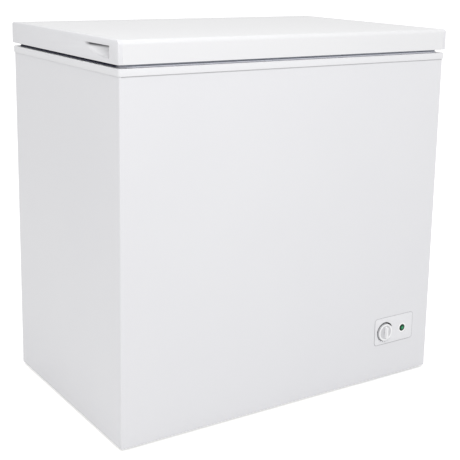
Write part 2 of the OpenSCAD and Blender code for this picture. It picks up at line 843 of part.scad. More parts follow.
module terminal_block() {
    color([0.88, 0.88, 0.84]) difference() {
        translate([block_x, block_y - block_size[1] / 2, block_z]) cube(block_size);
        for (i = [-1, 0, 1])
            rod_z([block_x + 14, block_y + i * 14, block_z + block_size[2] - 8], 3, 10);
    }
}

module wiring_harness() {
    top = block_z + block_size[2];
    color([0.12, 0.12, 0.13]) {
        swept(routed([[block_x + 14, block_y, top - 8], [block_x + 14, block_y, top + 24],
            [relay_x + 10, block_y - 20, top + 24], [relay_x + 10, compressor_y + relay_w / 2, top + 24],
            [relay_x + 10, compressor_y + relay_w / 2, relay_z + 60],
                [relay_x + 10, compressor_y + 10, relay_z + 60],
            [relay_x + 10, compressor_y + 10, relay_z + 56]], 3, 3), 2);
    }
}

// ---- controls ----

module control_panel() {
    window_w = panel_w - 2 * window_in - 2 * gap;
    window_h = panel_h - 2 * window_in - 2 * gap;
    color([0.95, 0.95, 0.96]) difference() {
        union() {
            translate([panel_x, front_y, panel_z]) rotate([90, 0, 0]) linear_extrude(panel_t)
                rounded(panel_w, panel_h, panel_r);
            translate([panel_x, front_y + 7, panel_z]) rotate([90, 0, 0]) linear_extrude(7) difference() {
                rounded(window_w, window_h, panel_r - gap);
                rounded(window_w - 4, window_h - 4, panel_r - gap - 2);
            }
            rod_y([knob_x, front_y, knob_z], bush_r + 3, 7);
            rod_y([lens_x, front_y, lens_z], lens_r + 2, 7);
        }
        rod_y([knob_x, front_y - 4, knob_z], bush_r + run_fit, 16);
        rod_y([lens_x, front_y - 4, lens_z], lens_r, 16);
    }
}

module thermostat_body() {
    s = thermostat_size;
    color([0.8, 0.8, 0.78]) difference() {
        union() {
            translate([knob_x - s[0] / 2, front_y + 8, knob_z - s[2] / 2]) cube(s);
            rod_y([knob_x, front_y, knob_z], bush_r, 9);
        }
        rod_y([knob_x, front_y - eps, knob_z], shaft_r + run_fit, 20);
    }
}

module thermostat_sensor() {
    start_y = front_y + 8 + thermostat_size[1];
    b = 12;
    color([0.78, 0.5, 0.34]) {
        rod_y([sensor_x, start_y, knob_z], 1.5, sensor_y - start_y - b);
        translate([sensor_x, sensor_y - b, knob_z + b]) rotate([0, 90, 0]) rotate_extrude(angle = 90)
            translate([b, 0]) circle(1.5);
        rod_z([sensor_x, sensor_y, knob_z + b], 1.5, bay_z + 8 - knob_z - b);
        rod_z([sensor_x, sensor_y, bay_z + 8], 3, step_z - bay_z - 12);
    }
}

module thermostat_shaft() {
    color([0.75, 0.75, 0.76]) rod_y([knob_x, panel_face - gap - knob_t + 1, knob_z], shaft_r,
        knob_t + gap + panel_t + 14);
}

module thermostat_knob() {
    face = panel_face - gap - knob_t;
    hub = grip_w / 2;
    color([0.97, 0.97, 0.97]) difference() {
        union() {
            rod_y([knob_x, face + 1.2, knob_z], knob_r, knob_t - 1.2);
            translate([knob_x, face + 1.2, knob_z]) rotate([90, 0, 0])
                cylinder(r1 = knob_r, r2 = knob_r - 1.2, h = 1.2);
            for (z = [-1, 1])
                rod_y([knob_x, face - grip_h, knob_z + z * (knob_r - hub - 3)], hub, grip_h + 1);
            block([knob_x - hub, face - grip_h, knob_z - knob_r + hub + 3],
                [knob_x + hub, face + 1, knob_z + knob_r - hub - 3]);
        }
        rod_y([knob_x, face + 1, knob_z], shaft_r, knob_t + eps);
    }
}

module indicator_lens() {
    dome = (lens_r * lens_r + lens_t * lens_t) / (2 * lens_t);
    color([0.05, 0.4, 0.2]) translate([lens_x, panel_face, lens_z]) {
        rotate([-90, 0, 0]) cylinder(r = lens_r, h = panel_t + 4);
        intersection() {
            translate([0, dome - lens_t, 0]) sphere(dome);
            rotate([90, 0, 0]) cylinder(r = lens_r, h = lens_t + eps);
        }
    }
}

module indicator_lamp() {
    color([0.9, 0.75, 0.6]) rod_y([lens_x, front_y + 4, lens_z], 4, 22);
}

// ---- drain ----

module drain_room() {
    half = drain_r + drain_wall + gap;
    block([drain_x - half, drain_y - half, drain_z - half],
        [drain_x + half, foam_back + eps, drain_z + half]);
    block([drain_x - half, drain_y - half, drain_z - half], [drain_x + half, drain_y + half, floor_z]);
}

module drain_tube() {
    outer = drain_r + drain_wall;
    color([0.92, 0.92, 0.92]) difference() {
        union() {
            rod_z([drain_x, drain_y, drain_z - outer + 0.5], outer,
                floor_z - liner_t - drain_z + outer - 0.5);
            rod_y([drain_x, drain_y, drain_z], outer, rear_face + 2 - drain_y);
        }
        rod_z([drain_x, drain_y, drain_z], drain_r, floor_z);
        rod_y([drain_x, drain_y, drain_z], drain_r, cabinet_d);
    }
}

module drain_flange() {
    outer = drain_r + drain_wall;
    color([0.95, 0.95, 0.95]) translate([drain_x, drain_y, 0]) difference() {
        union() {
            translate([0, 0, floor_z]) cylinder(r = drain_plug_r + 3, h = 2);
            translate([0, 0, floor_z - liner_t]) cylinder(r = outer, h = 2);
        }
        translate([0, 0, floor_z - 4]) cylinder(r = drain_r, h = 12);
    }
}

module drain_plug() {
    color([0.2, 0.2, 0.22]) translate([drain_x, drain_y, 0]) {
        translate([0, 0, floor_z - 12]) cylinder(r = drain_r - run_fit, h = 16);
        translate([0, 0, floor_z + 2 + gap]) cylinder(r = drain_plug_r, h = 4);
        translate([0, 0, floor_z + 5]) cylinder(r = 5, h = 9);
        translate([0, 0, floor_z + 12]) cylinder(r = 8, h = 3);
    }
}

module drain_cap() {
    color([0.95, 0.95, 0.95]) translate([drain_x, rear_face, drain_z]) rotate([-90, 0, 0]) {
        translate([0, 0, -8]) cylinder(r = drain_r - run_fit, h = 12);
        translate([0, 0, 2 + gap]) cylinder(r = drain_r + 6, h = 3);
        translate([-2, -drain_r - 2, 5]) cube([4, 2 * drain_r + 4, 5]);
    }
}

// ---- hinges ----

module hinge_bracket() {
    color([0.8, 0.8, 0.82]) difference() {
        union() {
            block([-plate_w / 2, rear_face, plate_low],
                [plate_w / 2, rear_face + bracket_t, plate_low + plate_h]);
            for (s = [-1, 1])
                translate([s > 0 ? ear_gap : -ear_gap - ear_t, 0, 0]) {
                    rotate([90, 0, 90]) linear_extrude(ear_t) polygon([[rear_face + 1, plate_low + 6],
                        [rear_face + 1, frame_z - 10], [pin_y - ear_r, frame_z + 6], [pin_y - ear_r, pin_z],
                        [pin_y + ear_r, pin_z], [pin_y + ear_r, frame_z - 14],
                            [rear_face + 10, plate_low + 6]]);
                    rod_x([0, pin_y, pin_z], ear_r, ear_t);
                }
        }
        rod_x([-plate_w, pin_y, pin_z], pin_r + run_fit, 2 * plate_w);
        bracket_screw_places() cylinder(r = 2.7, h = 12, center = true);
    }
}

module bracket_screw_places() {
    for (x = [-1, 1], z = [0.2, 0.8])
        translate([x * (plate_w / 2 - 7), rear_face + bracket_t, plate_low + z * plate_h])
            rotate([-90, 0, 0]) children();
}

module hinge_places() {
    for (s = [-1, 1])
        translate([s * hinge_x, 0, 0]) children();
}

module hinge_bracket_left() {
    translate([-hinge_x, 0, 0]) hinge_bracket();
}

module hinge_bracket_right() {
    translate([hinge_x, 0, 0]) hinge_bracket();
}

module hinge_screws() {
    color([0.75, 0.75, 0.76]) hinge_places() bracket_screw_places() screw(2.5, bracket_t);
}

module hinge_pins() {
    reach = ear_gap + ear_t;
    color([0.7, 0.7, 0.72]) hinge_places() {
        rod_x([-reach - 1, pin_y, pin_z], pin_r, 2 * reach + 2);
        for (x = [-reach - 3, reach + 0.6])
            rod_x([x, pin_y, pin_z], pin_r + 2, 2.4);
    }
}

module hinge_washers() {
    color([0.6, 0.6, 0.62]) hinge_places() for (x = [knuckle_l / 2 + 0.1, -knuckle_l / 2 - 0.1 - washer_t])
        difference() {
            rod_x([x, pin_y, pin_z], pin_r + 3, washer_t);
            rod_x([x - eps, pin_y, pin_z], pin_r + run_fit, washer_t + 2 * eps);
        }
}

module hinge_covers() {
    low = plate_low - 4;
    high = frame_top;
    t = hinge_cover_t;
    color([0.95, 0.95, 0.95]) hinge_places() difference() {
        block([-hinge_cover_w / 2, rear_face, low], [hinge_cover_w / 2, back_y + cover_d, high]);
        block([-hinge_cover_w / 2 + t, rear_face - eps, low + t],
            [hinge_cover_w / 2 - t, back_y + cover_d - t, high + eps]);
        block([-hinge_cover_w, rear_face - eps, frame_z - gap],
            [hinge_cover_w, back_y + frame_out + gap, high + eps]);
    }
}

// ---- lid ----

// end view of the lid, drawn in from its outside by a distance
module lid_profile(inset) {
    for (s = [-1, 1])
        translate([mid_y + s * (lid_d / 2 - lid_r), lid_z + lid_t - lid_r]) circle(lid_r - inset);
    translate([mid_y - lid_d / 2 + inset, lid_z]) square([lid_d - 2 * inset, lid_t - lid_r]);
    translate([mid_y - lid_d / 2 + lid_r, lid_z]) square([lid_d - 2 * lid_r, lid_t - inset]);
}

// length of the lid's profile between two stations
module lid_length(x0, x1, inset) {
    translate([x0, 0, 0]) rotate([90, 0, 90]) linear_extrude(x1 - x0) lid_profile(inset);
}

module lid_skin() {
    color([0.97, 0.97, 0.98]) difference() {
        lid_length(-cap_x, cap_x, 0);
        lid_length(-cap_x - eps, cap_x + eps, sheet_t);
    }
}

// block behind the handle recess, and the scoop cut into it, at the lid's left-hand end
module recess_boss(grow) {
    block([-cap_x - eps, recess_front - cap_wall - grow, lid_z + 3 - grow],
        [-lid_w / 2 + recess_in + cap_wall + grow, recess_front + recess_l + cap_wall + grow,
            lid_z + recess_z + cap_wall + grow]);
}

module recess_scoop() {
    lean = atan(recess_in / recess_l);
    intersection() {
        block([-lid_w / 2 - eps, recess_front, lid_z],
            [-lid_w / 2 + recess_in + 2, recess_front + recess_l, lid_z + recess_z]);
        translate([-lid_w / 2 + recess_in - scoop_r, recess_front, lid_z + recess_z]) rotate([0, 0, lean])
            rotate([-90, 0, 0]) translate([0, 0, -recess_l / 2])
                cylinder(r = scoop_r, h = 2 * recess_l, $fn = 96);
    }
}

module lid_cap_left() {
    color([0.93, 0.93, 0.94]) difference() {
        union() {
            intersection() {
                lid_length(-lid_w / 2, -cap_x, 0);
                prism(lid_w, lid_d, lid_edge_r, lid_z, lid_z + lid_t);
                translate([0, back_y + lid_d, lid_z + lid_t / 2 - lid_edge_r]) rotate([90, 0, 0])
                    linear_extrude(3 * lid_d) rounded(lid_w, lid_t + 2 * lid_edge_r, lid_edge_r);
            }
            recess_boss(0);
        }
        recess_scoop();
    }
}

module lid_cap_right() {
    mirror([1, 0, 0]) lid_cap_left();
}

module lid_foam() {
    color([0.93, 0.86, 0.66]) difference() {
        union() {
            difference() {
                lid_length(-cap_x, cap_x, sheet_t);
                block([-lid_w, mid_y - lid_d, lid_z - eps], [lid_w, mid_y + lid_d, lid_z + liner_plate]);
            }
            prism(plug_w - 2 * liner_plate, plug_d - 2 * liner_plate, plug_r - liner_plate,
                lid_z - plug_h + liner_plate, lid_z + liner_plate);
        }
        recess_boss(0.2);
        mirror([1, 0, 0]) recess_boss(0.2);
    }
}

module lid_liner() {
    color([0.96, 0.96, 0.97]) {
        difference() {
            block([-cap_x, mid_y - lid_d / 2 + sheet_t, lid_z],
                [cap_x, mid_y + lid_d / 2 - sheet_t, lid_z + liner_plate]);
            prism(plug_w - 2 * liner_plate, plug_d - 2 * liner_plate, plug_r - liner_plate, lid_z - eps,
                lid_z + lid_t);
        }
        band(plug_w, plug_d, plug_r, liner_plate, lid_z - plug_h, lid_z + liner_plate);
        prism(plug_w, plug_d, plug_r, lid_z - plug_h, lid_z - plug_h + liner_plate);
    }
}

gasket_out_w = cabinet_w - 2 * gasket_in;
gasket_out_d = cabinet_d - 2 * gasket_in;
gasket_low = frame_top + 0.3;
magnet_in = 8;
module lid_gasket() {
    r = bend_r + 3;
    color([0.25, 0.28, 0.33]) difference() {
        band(gasket_out_w, gasket_out_d, r + gasket_w, gasket_w, gasket_low, lid_z);
        magnet_bars(gap / 2, lid_z + eps);
    }
}

// four bars of magnet strip, grown sideways, up to a height
module magnet_bars(grow, top) {
    low = gasket_low + 1.5;
    x = gasket_out_w / 2 - magnet_in;
    y = gasket_out_d / 2 - magnet_in;
    corner = gasket_w + 6;
    for (s = [-1, 1]) {
        block([-x + corner, mid_y + s * (y - magnet_w / 2) - magnet_w / 2 - grow, low - grow],
            [x - corner, mid_y + s * (y - magnet_w / 2) + magnet_w / 2 + grow, top]);
        block([s * (x - magnet_w / 2) - magnet_w / 2 - grow, mid_y - y + corner, low - grow],
            [s * (x - magnet_w / 2) + magnet_w / 2 + grow, mid_y + y - corner, top]);
    }
}

module gasket_magnets() {
    color([0.15, 0.15, 0.15]) magnet_bars(0, gasket_low + 1.5 + magnet_t);
}

module lid_leaf() {
    face = back_y + lid_out;
    color([0.8, 0.8, 0.82]) difference() {
        union() {
            block([-leaf_w / 2, face, lid_z + 6], [leaf_w / 2, face + leaf_t, lid_z + lid_t - lid_r - 1]);
            block([-knuckle_l / 2, face, pin_z + 2], [knuckle_l / 2, pin_y, pin_z + knuckle_r - 0.5]);
            rod_x([-knuckle_l / 2, pin_y, pin_z], knuckle_r, knuckle_l);
        }
        rod_x([-knuckle_l, pin_y, pin_z], pin_r + run_fit, 2 * knuckle_l);
        leaf_screw_places() cylinder(r = 2.7, h = 12, center = true);
    }
}

module leaf_screw_places() {
    for (x = [-1, 1])
        translate([x * (leaf_w / 2 - 8), back_y + lid_out + leaf_t, lid_z + 24]) rotate([-90, 0, 0])
            children();
}

module lid_leaf_left() {
    translate([-hinge_x, 0, 0]) lid_leaf();
}

module lid_leaf_right() {
    translate([hinge_x, 0, 0]) lid_leaf();
}

module lid_hinge_screws() {
    color([0.75, 0.75, 0.76]) hinge_places() leaf_screw_places() screw(2.5, leaf_t);
}

// ---- basket ----

module basket() {
    x0 = basket_x - basket_l;
    low = basket_top - basket_h;
    t = basket_t;
    color([0.95, 0.95, 0.95]) {
        difference() {
            block([x0, mid_y - basket_half, low], [basket_x, mid_y + basket_half, basket_top]);
            block([x0 + t, mid_y - basket_half + t, low + t],
                [basket_x - t, mid_y + basket_half - t, basket_top + eps]);
        }
        for (s = [-1, 1]) {
            rod_x([x0 + 30, mid_y + s * hook_y, hook_z], hook_r, basket_l - 60);
            for (x = [x0 + 34, basket_x - 34])
                translate([x, mid_y, 0]) mirror([0, s > 0 ? 0 : 1, 0]) {
                    block([-2, basket_half - t, hook_z - 1.5], [2, hook_y, hook_z + 1.5]);
                    block([-2, basket_half - t, basket_top - 10], [2, basket_half, hook_z]);
                }
        }
    }
}

outer_shell();
rear_panel();
base_pan();
foam_left();
foam_right();
foam_front();
foam_rear();
foam_floor();
foam_step();
foam_corners();
inner_liner();
top_frame();
evaporator_coil();
condenser_coil();
feet();
foot_screws();
compressor_tray();
compressor();
compressor_grommets();
compressor_bolts();
relay_cover();
filter_drier();
capillary_tube();
suction_tube();
discharge_tube();
liquid_tube();
process_tube();
compressor_cover();
cover_screws();
cord_grommet();
terminal_block();
wiring_harness();
control_panel();
thermostat_body();
thermostat_sensor();
indicator_lens();
indicator_lamp();
drain_flange();
drain_tube();
hinge_bracket_left();
hinge_bracket_right();
hinge_pins();
hinge_washers();
hinge_covers();
hinge_screws();
lid_skin();
lid_cap_left();
lid_cap_right();
lid_foam();
lid_liner();
lid_gasket();
gasket_magnets();
lid_leaf_left();
lid_leaf_right();
lid_hinge_screws();
thermostat_shaft();
thermostat_knob();
basket();
drain_plug();
drain_cap();
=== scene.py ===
import json
import math

import bmesh
import bpy
from mathutils import Matrix, Vector

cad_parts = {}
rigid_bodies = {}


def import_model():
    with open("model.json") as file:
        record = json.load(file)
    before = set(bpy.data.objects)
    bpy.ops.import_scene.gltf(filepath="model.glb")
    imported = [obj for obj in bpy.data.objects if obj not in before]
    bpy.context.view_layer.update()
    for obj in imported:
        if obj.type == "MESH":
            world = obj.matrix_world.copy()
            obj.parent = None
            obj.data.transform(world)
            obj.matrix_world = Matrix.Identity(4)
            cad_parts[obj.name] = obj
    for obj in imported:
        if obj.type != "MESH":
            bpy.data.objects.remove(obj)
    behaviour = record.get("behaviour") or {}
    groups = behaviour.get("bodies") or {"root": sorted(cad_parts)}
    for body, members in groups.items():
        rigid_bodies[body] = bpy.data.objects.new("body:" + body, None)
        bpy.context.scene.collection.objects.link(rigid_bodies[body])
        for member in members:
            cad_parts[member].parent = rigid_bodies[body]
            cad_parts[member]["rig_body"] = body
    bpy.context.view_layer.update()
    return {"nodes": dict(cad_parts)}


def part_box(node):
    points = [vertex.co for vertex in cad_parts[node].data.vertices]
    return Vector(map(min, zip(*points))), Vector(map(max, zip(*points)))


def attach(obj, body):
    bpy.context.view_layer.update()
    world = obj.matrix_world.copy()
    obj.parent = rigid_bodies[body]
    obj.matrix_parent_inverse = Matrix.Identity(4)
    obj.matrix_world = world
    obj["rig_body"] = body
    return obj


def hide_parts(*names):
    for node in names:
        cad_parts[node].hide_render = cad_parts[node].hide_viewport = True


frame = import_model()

scene = bpy.context.scene
nodes = frame["nodes"]

# ---- viewpoint ----
# Someone standing off the front left-hand corner of the freezer, with the eyes a little above
# the lid. The lens is a short telephoto, so the freezer's upright edges stay nearly parallel.
camera_lens = bpy.data.cameras.new("viewpoint")
camera = bpy.data.objects.new("viewpoint", camera_lens)
scene.collection.objects.link(camera)
camera.location = (-1.2783, -1.9616, 1.0044)
camera.rotation_euler = [math.radians(turn) for turn in (78.206, -1.078, -33.529)]
camera_lens.sensor_width = 36
camera_lens.lens = 77.78
camera_lens.shift_x = -0.0172
camera_lens.shift_y = -0.145
camera_lens.clip_end = 80
scene.camera = camera

# ---- floor and studio light ----
# A white light table that is lit from below as well as above, so it stays white to its edge.
# One soft box hangs high in front, one near the upper left and a wide one overhead.
scene.view_settings.view_transform = "Standard"
scene.view_settings.look = "None"

floor_shape = bmesh.new()
bmesh.ops.create_grid(floor_shape, x_segments=24, y_segments=24, size=40)
floor_mesh = bpy.data.meshes.new("studio_floor")
floor_shape.to_mesh(floor_mesh)
floor_shape.free()
floor = bpy.data.objects.new("studio_floor", floor_mesh)
scene.collection.objects.link(floor)

floor_paint = bpy.data.materials.new("studio_white")
floor_paint.use_nodes = True
floor_shader = floor_paint.node_tree.nodes["Principled BSDF"]
floor_shader.inputs["Base Color"].default_value = (0.8, 0.8, 0.8, 1)
floor_shader.inputs["Roughness"].default_value = 0.9
floor_shader.inputs["Specular IOR Level"].default_value = 0.1
floor_shader.inputs["Emission Color"].default_value = (1, 1, 1, 1)
seen_directly = floor_paint.node_tree.nodes.new("ShaderNodeLightPath")
table_glow = floor_paint.node_tree.nodes.new("ShaderNodeMapRange")
table_glow.inputs["To Min"].default_value = 0.13
table_glow.inputs["To Max"].default_value = 0.55
floor_paint.node_tree.links.new(seen_directly.outputs["Is Camera Ray"], table_glow.inputs["Value"])
floor_paint.node_tree.links.new(table_glow.outputs["Result"], floor_shader.inputs["Emission Strength"])
floor_mesh.materials.append(floor_paint)

surround = bpy.data.worlds.new("studio_surround")
surround.use_nodes = True
surround_light = surround.node_tree.nodes["Background"]
surround_light.inputs["Color"].default_value = (1, 1, 1, 1)
surround_path = surround.node_tree.nodes.new("ShaderNodeLightPath")
surround_glow = surround.node_tree.nodes.new("ShaderNodeMapRange")
surround_glow.inputs["To Min"].default_value = 0.83
surround_glow.inputs["To Max"].default_value = 1
surround.node_tree.links.new(surround_path.outputs["Is Camera Ray"], surround_glow.inputs["Value"])
surround.node_tree.links.new(surround_glow.outputs["Result"], surround_light.inputs["Strength"])
scene.world = surround


def soft_box(name, place, aim, width, height, power):
    """A rectangular soft light that faces a point and isn't seen itself."""
    lamp = bpy.data.lights.new(name, "AREA")
    lamp.shape = "RECTANGLE"
    lamp.size = width
    lamp.size_y = height
    lamp.energy = power
    box = bpy.data.objects.new(name, lamp)
    box.location = place
    box.rotation_euler = (Vector(aim) - Vector(place)).to_track_quat("-Z", "Y").to_euler()
    box.visible_camera = False
    scene.collection.objects.link(box)


soft_box("front_box", (-0.2, -2.0, 2.3), (-0.1, -0.2, 0.8), 2.6, 0.9, 7)
soft_box("near_box", (-0.6, -1.2, 1.7), (-0.2, -0.2, 0.6), 1.6, 0.6, 6.2)
soft_box("top_box", (0.0, 0.3, 2.9), (0, 0, 0.8), 2.6, 1.8, 6)


# ---- painted steel cabinet ----
# One sheet of 0.8 mm steel, bent round the front and both ends, and powder coated gloss white.
# Stoved powder leaves a faint orange-peel ripple and a little unevenness in its white.
def shader_group(name, inputs, outputs):
    """An empty node group with its sockets, and its two end nodes."""
    group = bpy.data.node_groups.new(name, "ShaderNodeTree")
    kinds = {"colour": "NodeSocketColor", "vector": "NodeSocketVector", "value": "NodeSocketFloat"}
    for label, kind in inputs:
        group.interface.new_socket(name=label, in_out="INPUT", socket_type=kinds[kind])
    for label, kind in outputs:
        group.interface.new_socket(name=label, in_out="OUTPUT", socket_type=kinds[kind])
    return group, group.nodes.new("NodeGroupInput"), group.nodes.new("NodeGroupOutput")


def join(tree, *pairs):
    """Links each output socket to its input socket."""
    for out, into in pairs:
        tree.links.new(out, into)


def maths(tree, operation, *fixed):
    """A Math node whose inputs from the second on are fixed values."""
    node = tree.nodes.new("ShaderNodeMath")
    node.operation = operation
    for index, value in enumerate(fixed, 1):
        node.inputs[index].default_value = value
    return node


def ramp(tree, start, end):
    """A node that runs from 0 at the start value to 1 at the end value."""
    node = tree.nodes.new("ShaderNodeMapRange")
    node.inputs["From Min"].default_value = start
    node.inputs["From Max"].default_value = end
    return node


def mixed(tree, **fixed):
    """A node that mixes the colours A and B, either of which may be fixed."""
    node = tree.nodes.new("ShaderNodeMix")
    node.data_type = "RGBA"
    for label, colour in fixed.items():
        node.inputs[label].default_value = (*colour, 1)
    return node


patchy, patchy_in, patchy_out = shader_group(
    "patchy_colour",
    [("Vector", "vector"), ("Colour", "colour"), ("Shade", "colour"), ("Patch", "value"),
     ("Amount", "value")],
    [("Colour", "colour")])
cloud = patchy.nodes.new("ShaderNodeTexNoise")
cloud.inputs["Detail"].default_value = 5
spread_out = ramp(patchy, 0.32, 0.68)
share = maths(patchy, "MULTIPLY")
blend_in = mixed(patchy)
join(patchy,
     (patchy_in.outputs["Vector"], cloud.inputs["Vector"]),
     (patchy_in.outputs["Patch"], cloud.inputs["Scale"]),
     (cloud.outputs["Fac"], spread_out.inputs["Value"]),
     (spread_out.outputs["Result"], share.inputs[0]),
     (patchy_in.outputs["Amount"], share.inputs[1]),
     (share.outputs["Value"], blend_in.inputs["Factor"]),
     (patchy_in.outputs["Colour"], blend_in.inputs["A"]),
     (patchy_in.outputs["Shade"], blend_in.inputs["B"]),
     (blend_in.outputs["Result"], patchy_out.inputs["Colour"]))

ripple, ripple_in, ripple_out = shader_group(
    "surface_ripple",
    [("Vector", "vector"), ("Grain", "value"), ("Depth", "value"), ("Rough", "value"),
     ("Spread", "value")],
    [("Roughness", "value"), ("Normal", "vector")])
fine = ripple.nodes.new("ShaderNodeTexNoise")
fine.inputs["Detail"].default_value = 3
press = ripple.nodes.new("ShaderNodeBump")
press.inputs["Strength"].default_value = 1
smear = ripple.nodes.new("ShaderNodeTexNoise")
smear.inputs["Scale"].default_value = 9
smear.inputs["Detail"].default_value = 6
centred = maths(ripple, "SUBTRACT", 0.5)
swing = maths(ripple, "MULTIPLY_ADD")
join(ripple,
     (ripple_in.outputs["Vector"], fine.inputs["Vector"]),
     (ripple_in.outputs["Grain"], fine.inputs["Scale"]),
     (fine.outputs["Fac"], press.inputs["Height"]),
     (ripple_in.outputs["Depth"], press.inputs["Distance"]),
     (press.outputs["Normal"], ripple_out.inputs["Normal"]),
     (ripple_in.outputs["Vector"], smear.inputs["Vector"]),
     (smear.outputs["Fac"], centred.inputs[0]),
     (centred.outputs["Value"], swing.inputs[0]),
     (ripple_in.outputs["Spread"], swing.inputs[1]),
     (ripple_in.outputs["Rough"], swing.inputs[2]),
     (swing.outputs["Value"], ripple_out.inputs["Roughness"]))

worn, worn_in, worn_out = shader_group(
    "edge_wear",
    [("Vector", "vector"), ("Width", "value"), ("Amount", "value"), ("Colour", "colour"),
     ("Bare", "colour")],
    [("Colour", "colour"), ("Mask", "value")])
rounded_over = worn.nodes.new("ShaderNodeBevel")
rounded_over.samples = 3
facing = worn.nodes.new("ShaderNodeNewGeometry")
likeness = worn.nodes.new("ShaderNodeVectorMath")
likeness.operation = "DOT_PRODUCT"
edge_only = ramp(worn, 0.995, 0.8)
scratch = worn.nodes.new("ShaderNodeTexNoise")
scratch.inputs["Scale"].default_value = 70
scratch.inputs["Detail"].default_value = 6
broken = ramp(worn, 0.42, 0.62)
both = maths(worn, "MULTIPLY")
scaled = maths(worn, "MULTIPLY")
rubbed = mixed(worn)
join(worn,
     (worn_in.outputs["Width"], rounded_over.inputs["Radius"]),
     (rounded_over.outputs["Normal"], likeness.inputs[0]),
     (facing.outputs["Normal"], likeness.inputs[1]),
     (likeness.outputs["Value"], edge_only.inputs["Value"]),
     (worn_in.outputs["Vector"], scratch.inputs["Vector"]),
     (scratch.outputs["Fac"], broken.inputs["Value"]),
     (edge_only.outputs["Result"], both.inputs[0]),
     (broken.outputs["Result"], both.inputs[1]),
     (both.outputs["Value"], scaled.inputs[0]),
     (worn_in.outputs["Amount"], scaled.inputs[1]),
     (scaled.outputs["Value"], rubbed.inputs["Factor"]),
     (worn_in.outputs["Colour"], rubbed.inputs["A"]),
     (worn_in.outputs["Bare"], rubbed.inputs["B"]),
     (rubbed.outputs["Result"], worn_out.inputs["Colour"]),
     (scaled.outputs["Value"], worn_out.inputs["Mask"]))


def placed(tree, group, **values):
    """A shader group in a material, with some of its inputs set."""
    node = tree.nodes.new("ShaderNodeGroup")
    node.node_tree = group
    for label, value in values.items():
        node.inputs[label].default_value = value
    return node


def coating(name, colour, shade, rough, grain, depth, spread=0.08, amount=0.6, patch=5.0,
            metal=0.0, coat=0.0, bare=None, wear=0.5, wear_width=0.0012):
    """A painted, plated or moulded finish. Grain is in ripples per metre and depth in metres."""
    material = bpy.data.materials.new(name)
    material.use_nodes = True
    tree = material.node_tree
    shader = tree.nodes["Principled BSDF"]
    shader.inputs["Metallic"].default_value = metal
    shader.inputs["Coat Weight"].default_value = coat
    shader.inputs["Coat Roughness"].default_value = 0.08
    spot = tree.nodes.new("ShaderNodeTexCoord").outputs["Object"]
    tint = placed(tree, patchy, Colour=(*colour, 1), Shade=(*shade, 1), Patch=patch, Amount=amount)
    skin = placed(tree, ripple, Grain=grain, Depth=depth, Rough=rough, Spread=spread)
    join(tree, (spot, tint.inputs["Vector"]), (spot, skin.inputs["Vector"]),
         (skin.outputs["Roughness"], shader.inputs["Roughness"]),
         (skin.outputs["Normal"], shader.inputs["Normal"]))
    if bare:
        rub = placed(tree, worn, Width=wear_width, Amount=wear, Bare=(*bare, 1))
        join(tree, (spot, rub.inputs["Vector"]), (tint.outputs["Colour"], rub.inputs["Colour"]),
             (rub.outputs["Colour"], shader.inputs["Base Color"]))
    else:
        join(tree, (tint.outputs["Colour"], shader.inputs["Base Color"]))
    return material


def dress(material, *names):
    """Puts a finish on CAD nodes whose shape is already the real one."""
    for name in names:
        for place in nodes[name].material_slots:
            place.material = material


cabinet_enamel = coating("cabinet_enamel", (0.77, 0.77, 0.79), (0.745, 0.745, 0.77), 0.3, 120,
                         0.000004, spread=0.06, patch=2.4, coat=0.35)
dress(cabinet_enamel, "outer_shell")


# ---- back sheet ----
# A flat sheet of hot-dip galvanised steel that closes the back. It tucks inside the flanges
# of the wrap, and a row of blind rivets down each flange holds it.
def keep_shape(shape, name, body, material, smooth_to=35):
    """Makes the finished shape a piece that rides on a body."""
    mesh = bpy.data.meshes.new(name)
    shape.normal_update()
    shape.to_mesh(mesh)
    shape.free()
    mesh.polygons.foreach_set("use_smooth", [True] * len(mesh.polygons))
    mesh.set_sharp_from_angle(angle=math.radians(smooth_to))
    mesh.materials.append(material)
    piece = bpy.data.objects.new(name, mesh)
    scene.collection.objects.link(piece)
    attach(piece, body)
    return piece


def spangled(name, light, dark, rough, size):
    """Hot-dip zinc: crystals of slightly different grey, each with its own sheen."""
    material = coating(name, light, dark, rough, 900, 0.00001, metal=0.85)
    tree = material.node_tree
    shader = tree.nodes["Principled BSDF"]
    spot = tree.nodes.new("ShaderNodeTexCoord").outputs["Object"]
    crystals = tree.nodes.new("ShaderNodeTexVoronoi")
    crystals.inputs["Scale"].default_value = size
    crystals.inputs["Randomness"].default_value = 1
    grey = tree.nodes.new("ShaderNodeSeparateColor")
    tone = mixed(tree, A=light, B=dark)
    sheen = tree.nodes.new("ShaderNodeMapRange")
    sheen.inputs["To Min"].default_value = rough - 0.1
    sheen.inputs["To Max"].default_value = rough + 0.15
    join(tree, (spot, crystals.inputs["Vector"]), (crystals.outputs["Color"], grey.inputs["Color"]),
         (grey.outputs["Red"], tone.inputs["Factor"]), (grey.outputs["Green"], sheen.inputs["Value"]),
         (tone.outputs["Result"], shader.inputs["Base Color"]),
         (sheen.outputs["Result"], shader.inputs["Roughness"]))
    return material


back_zinc = spangled("back_sheet_zinc", (0.62, 0.63, 0.64), (0.5, 0.51, 0.53), 0.42, 110)
dress(back_zinc, "rear_panel")

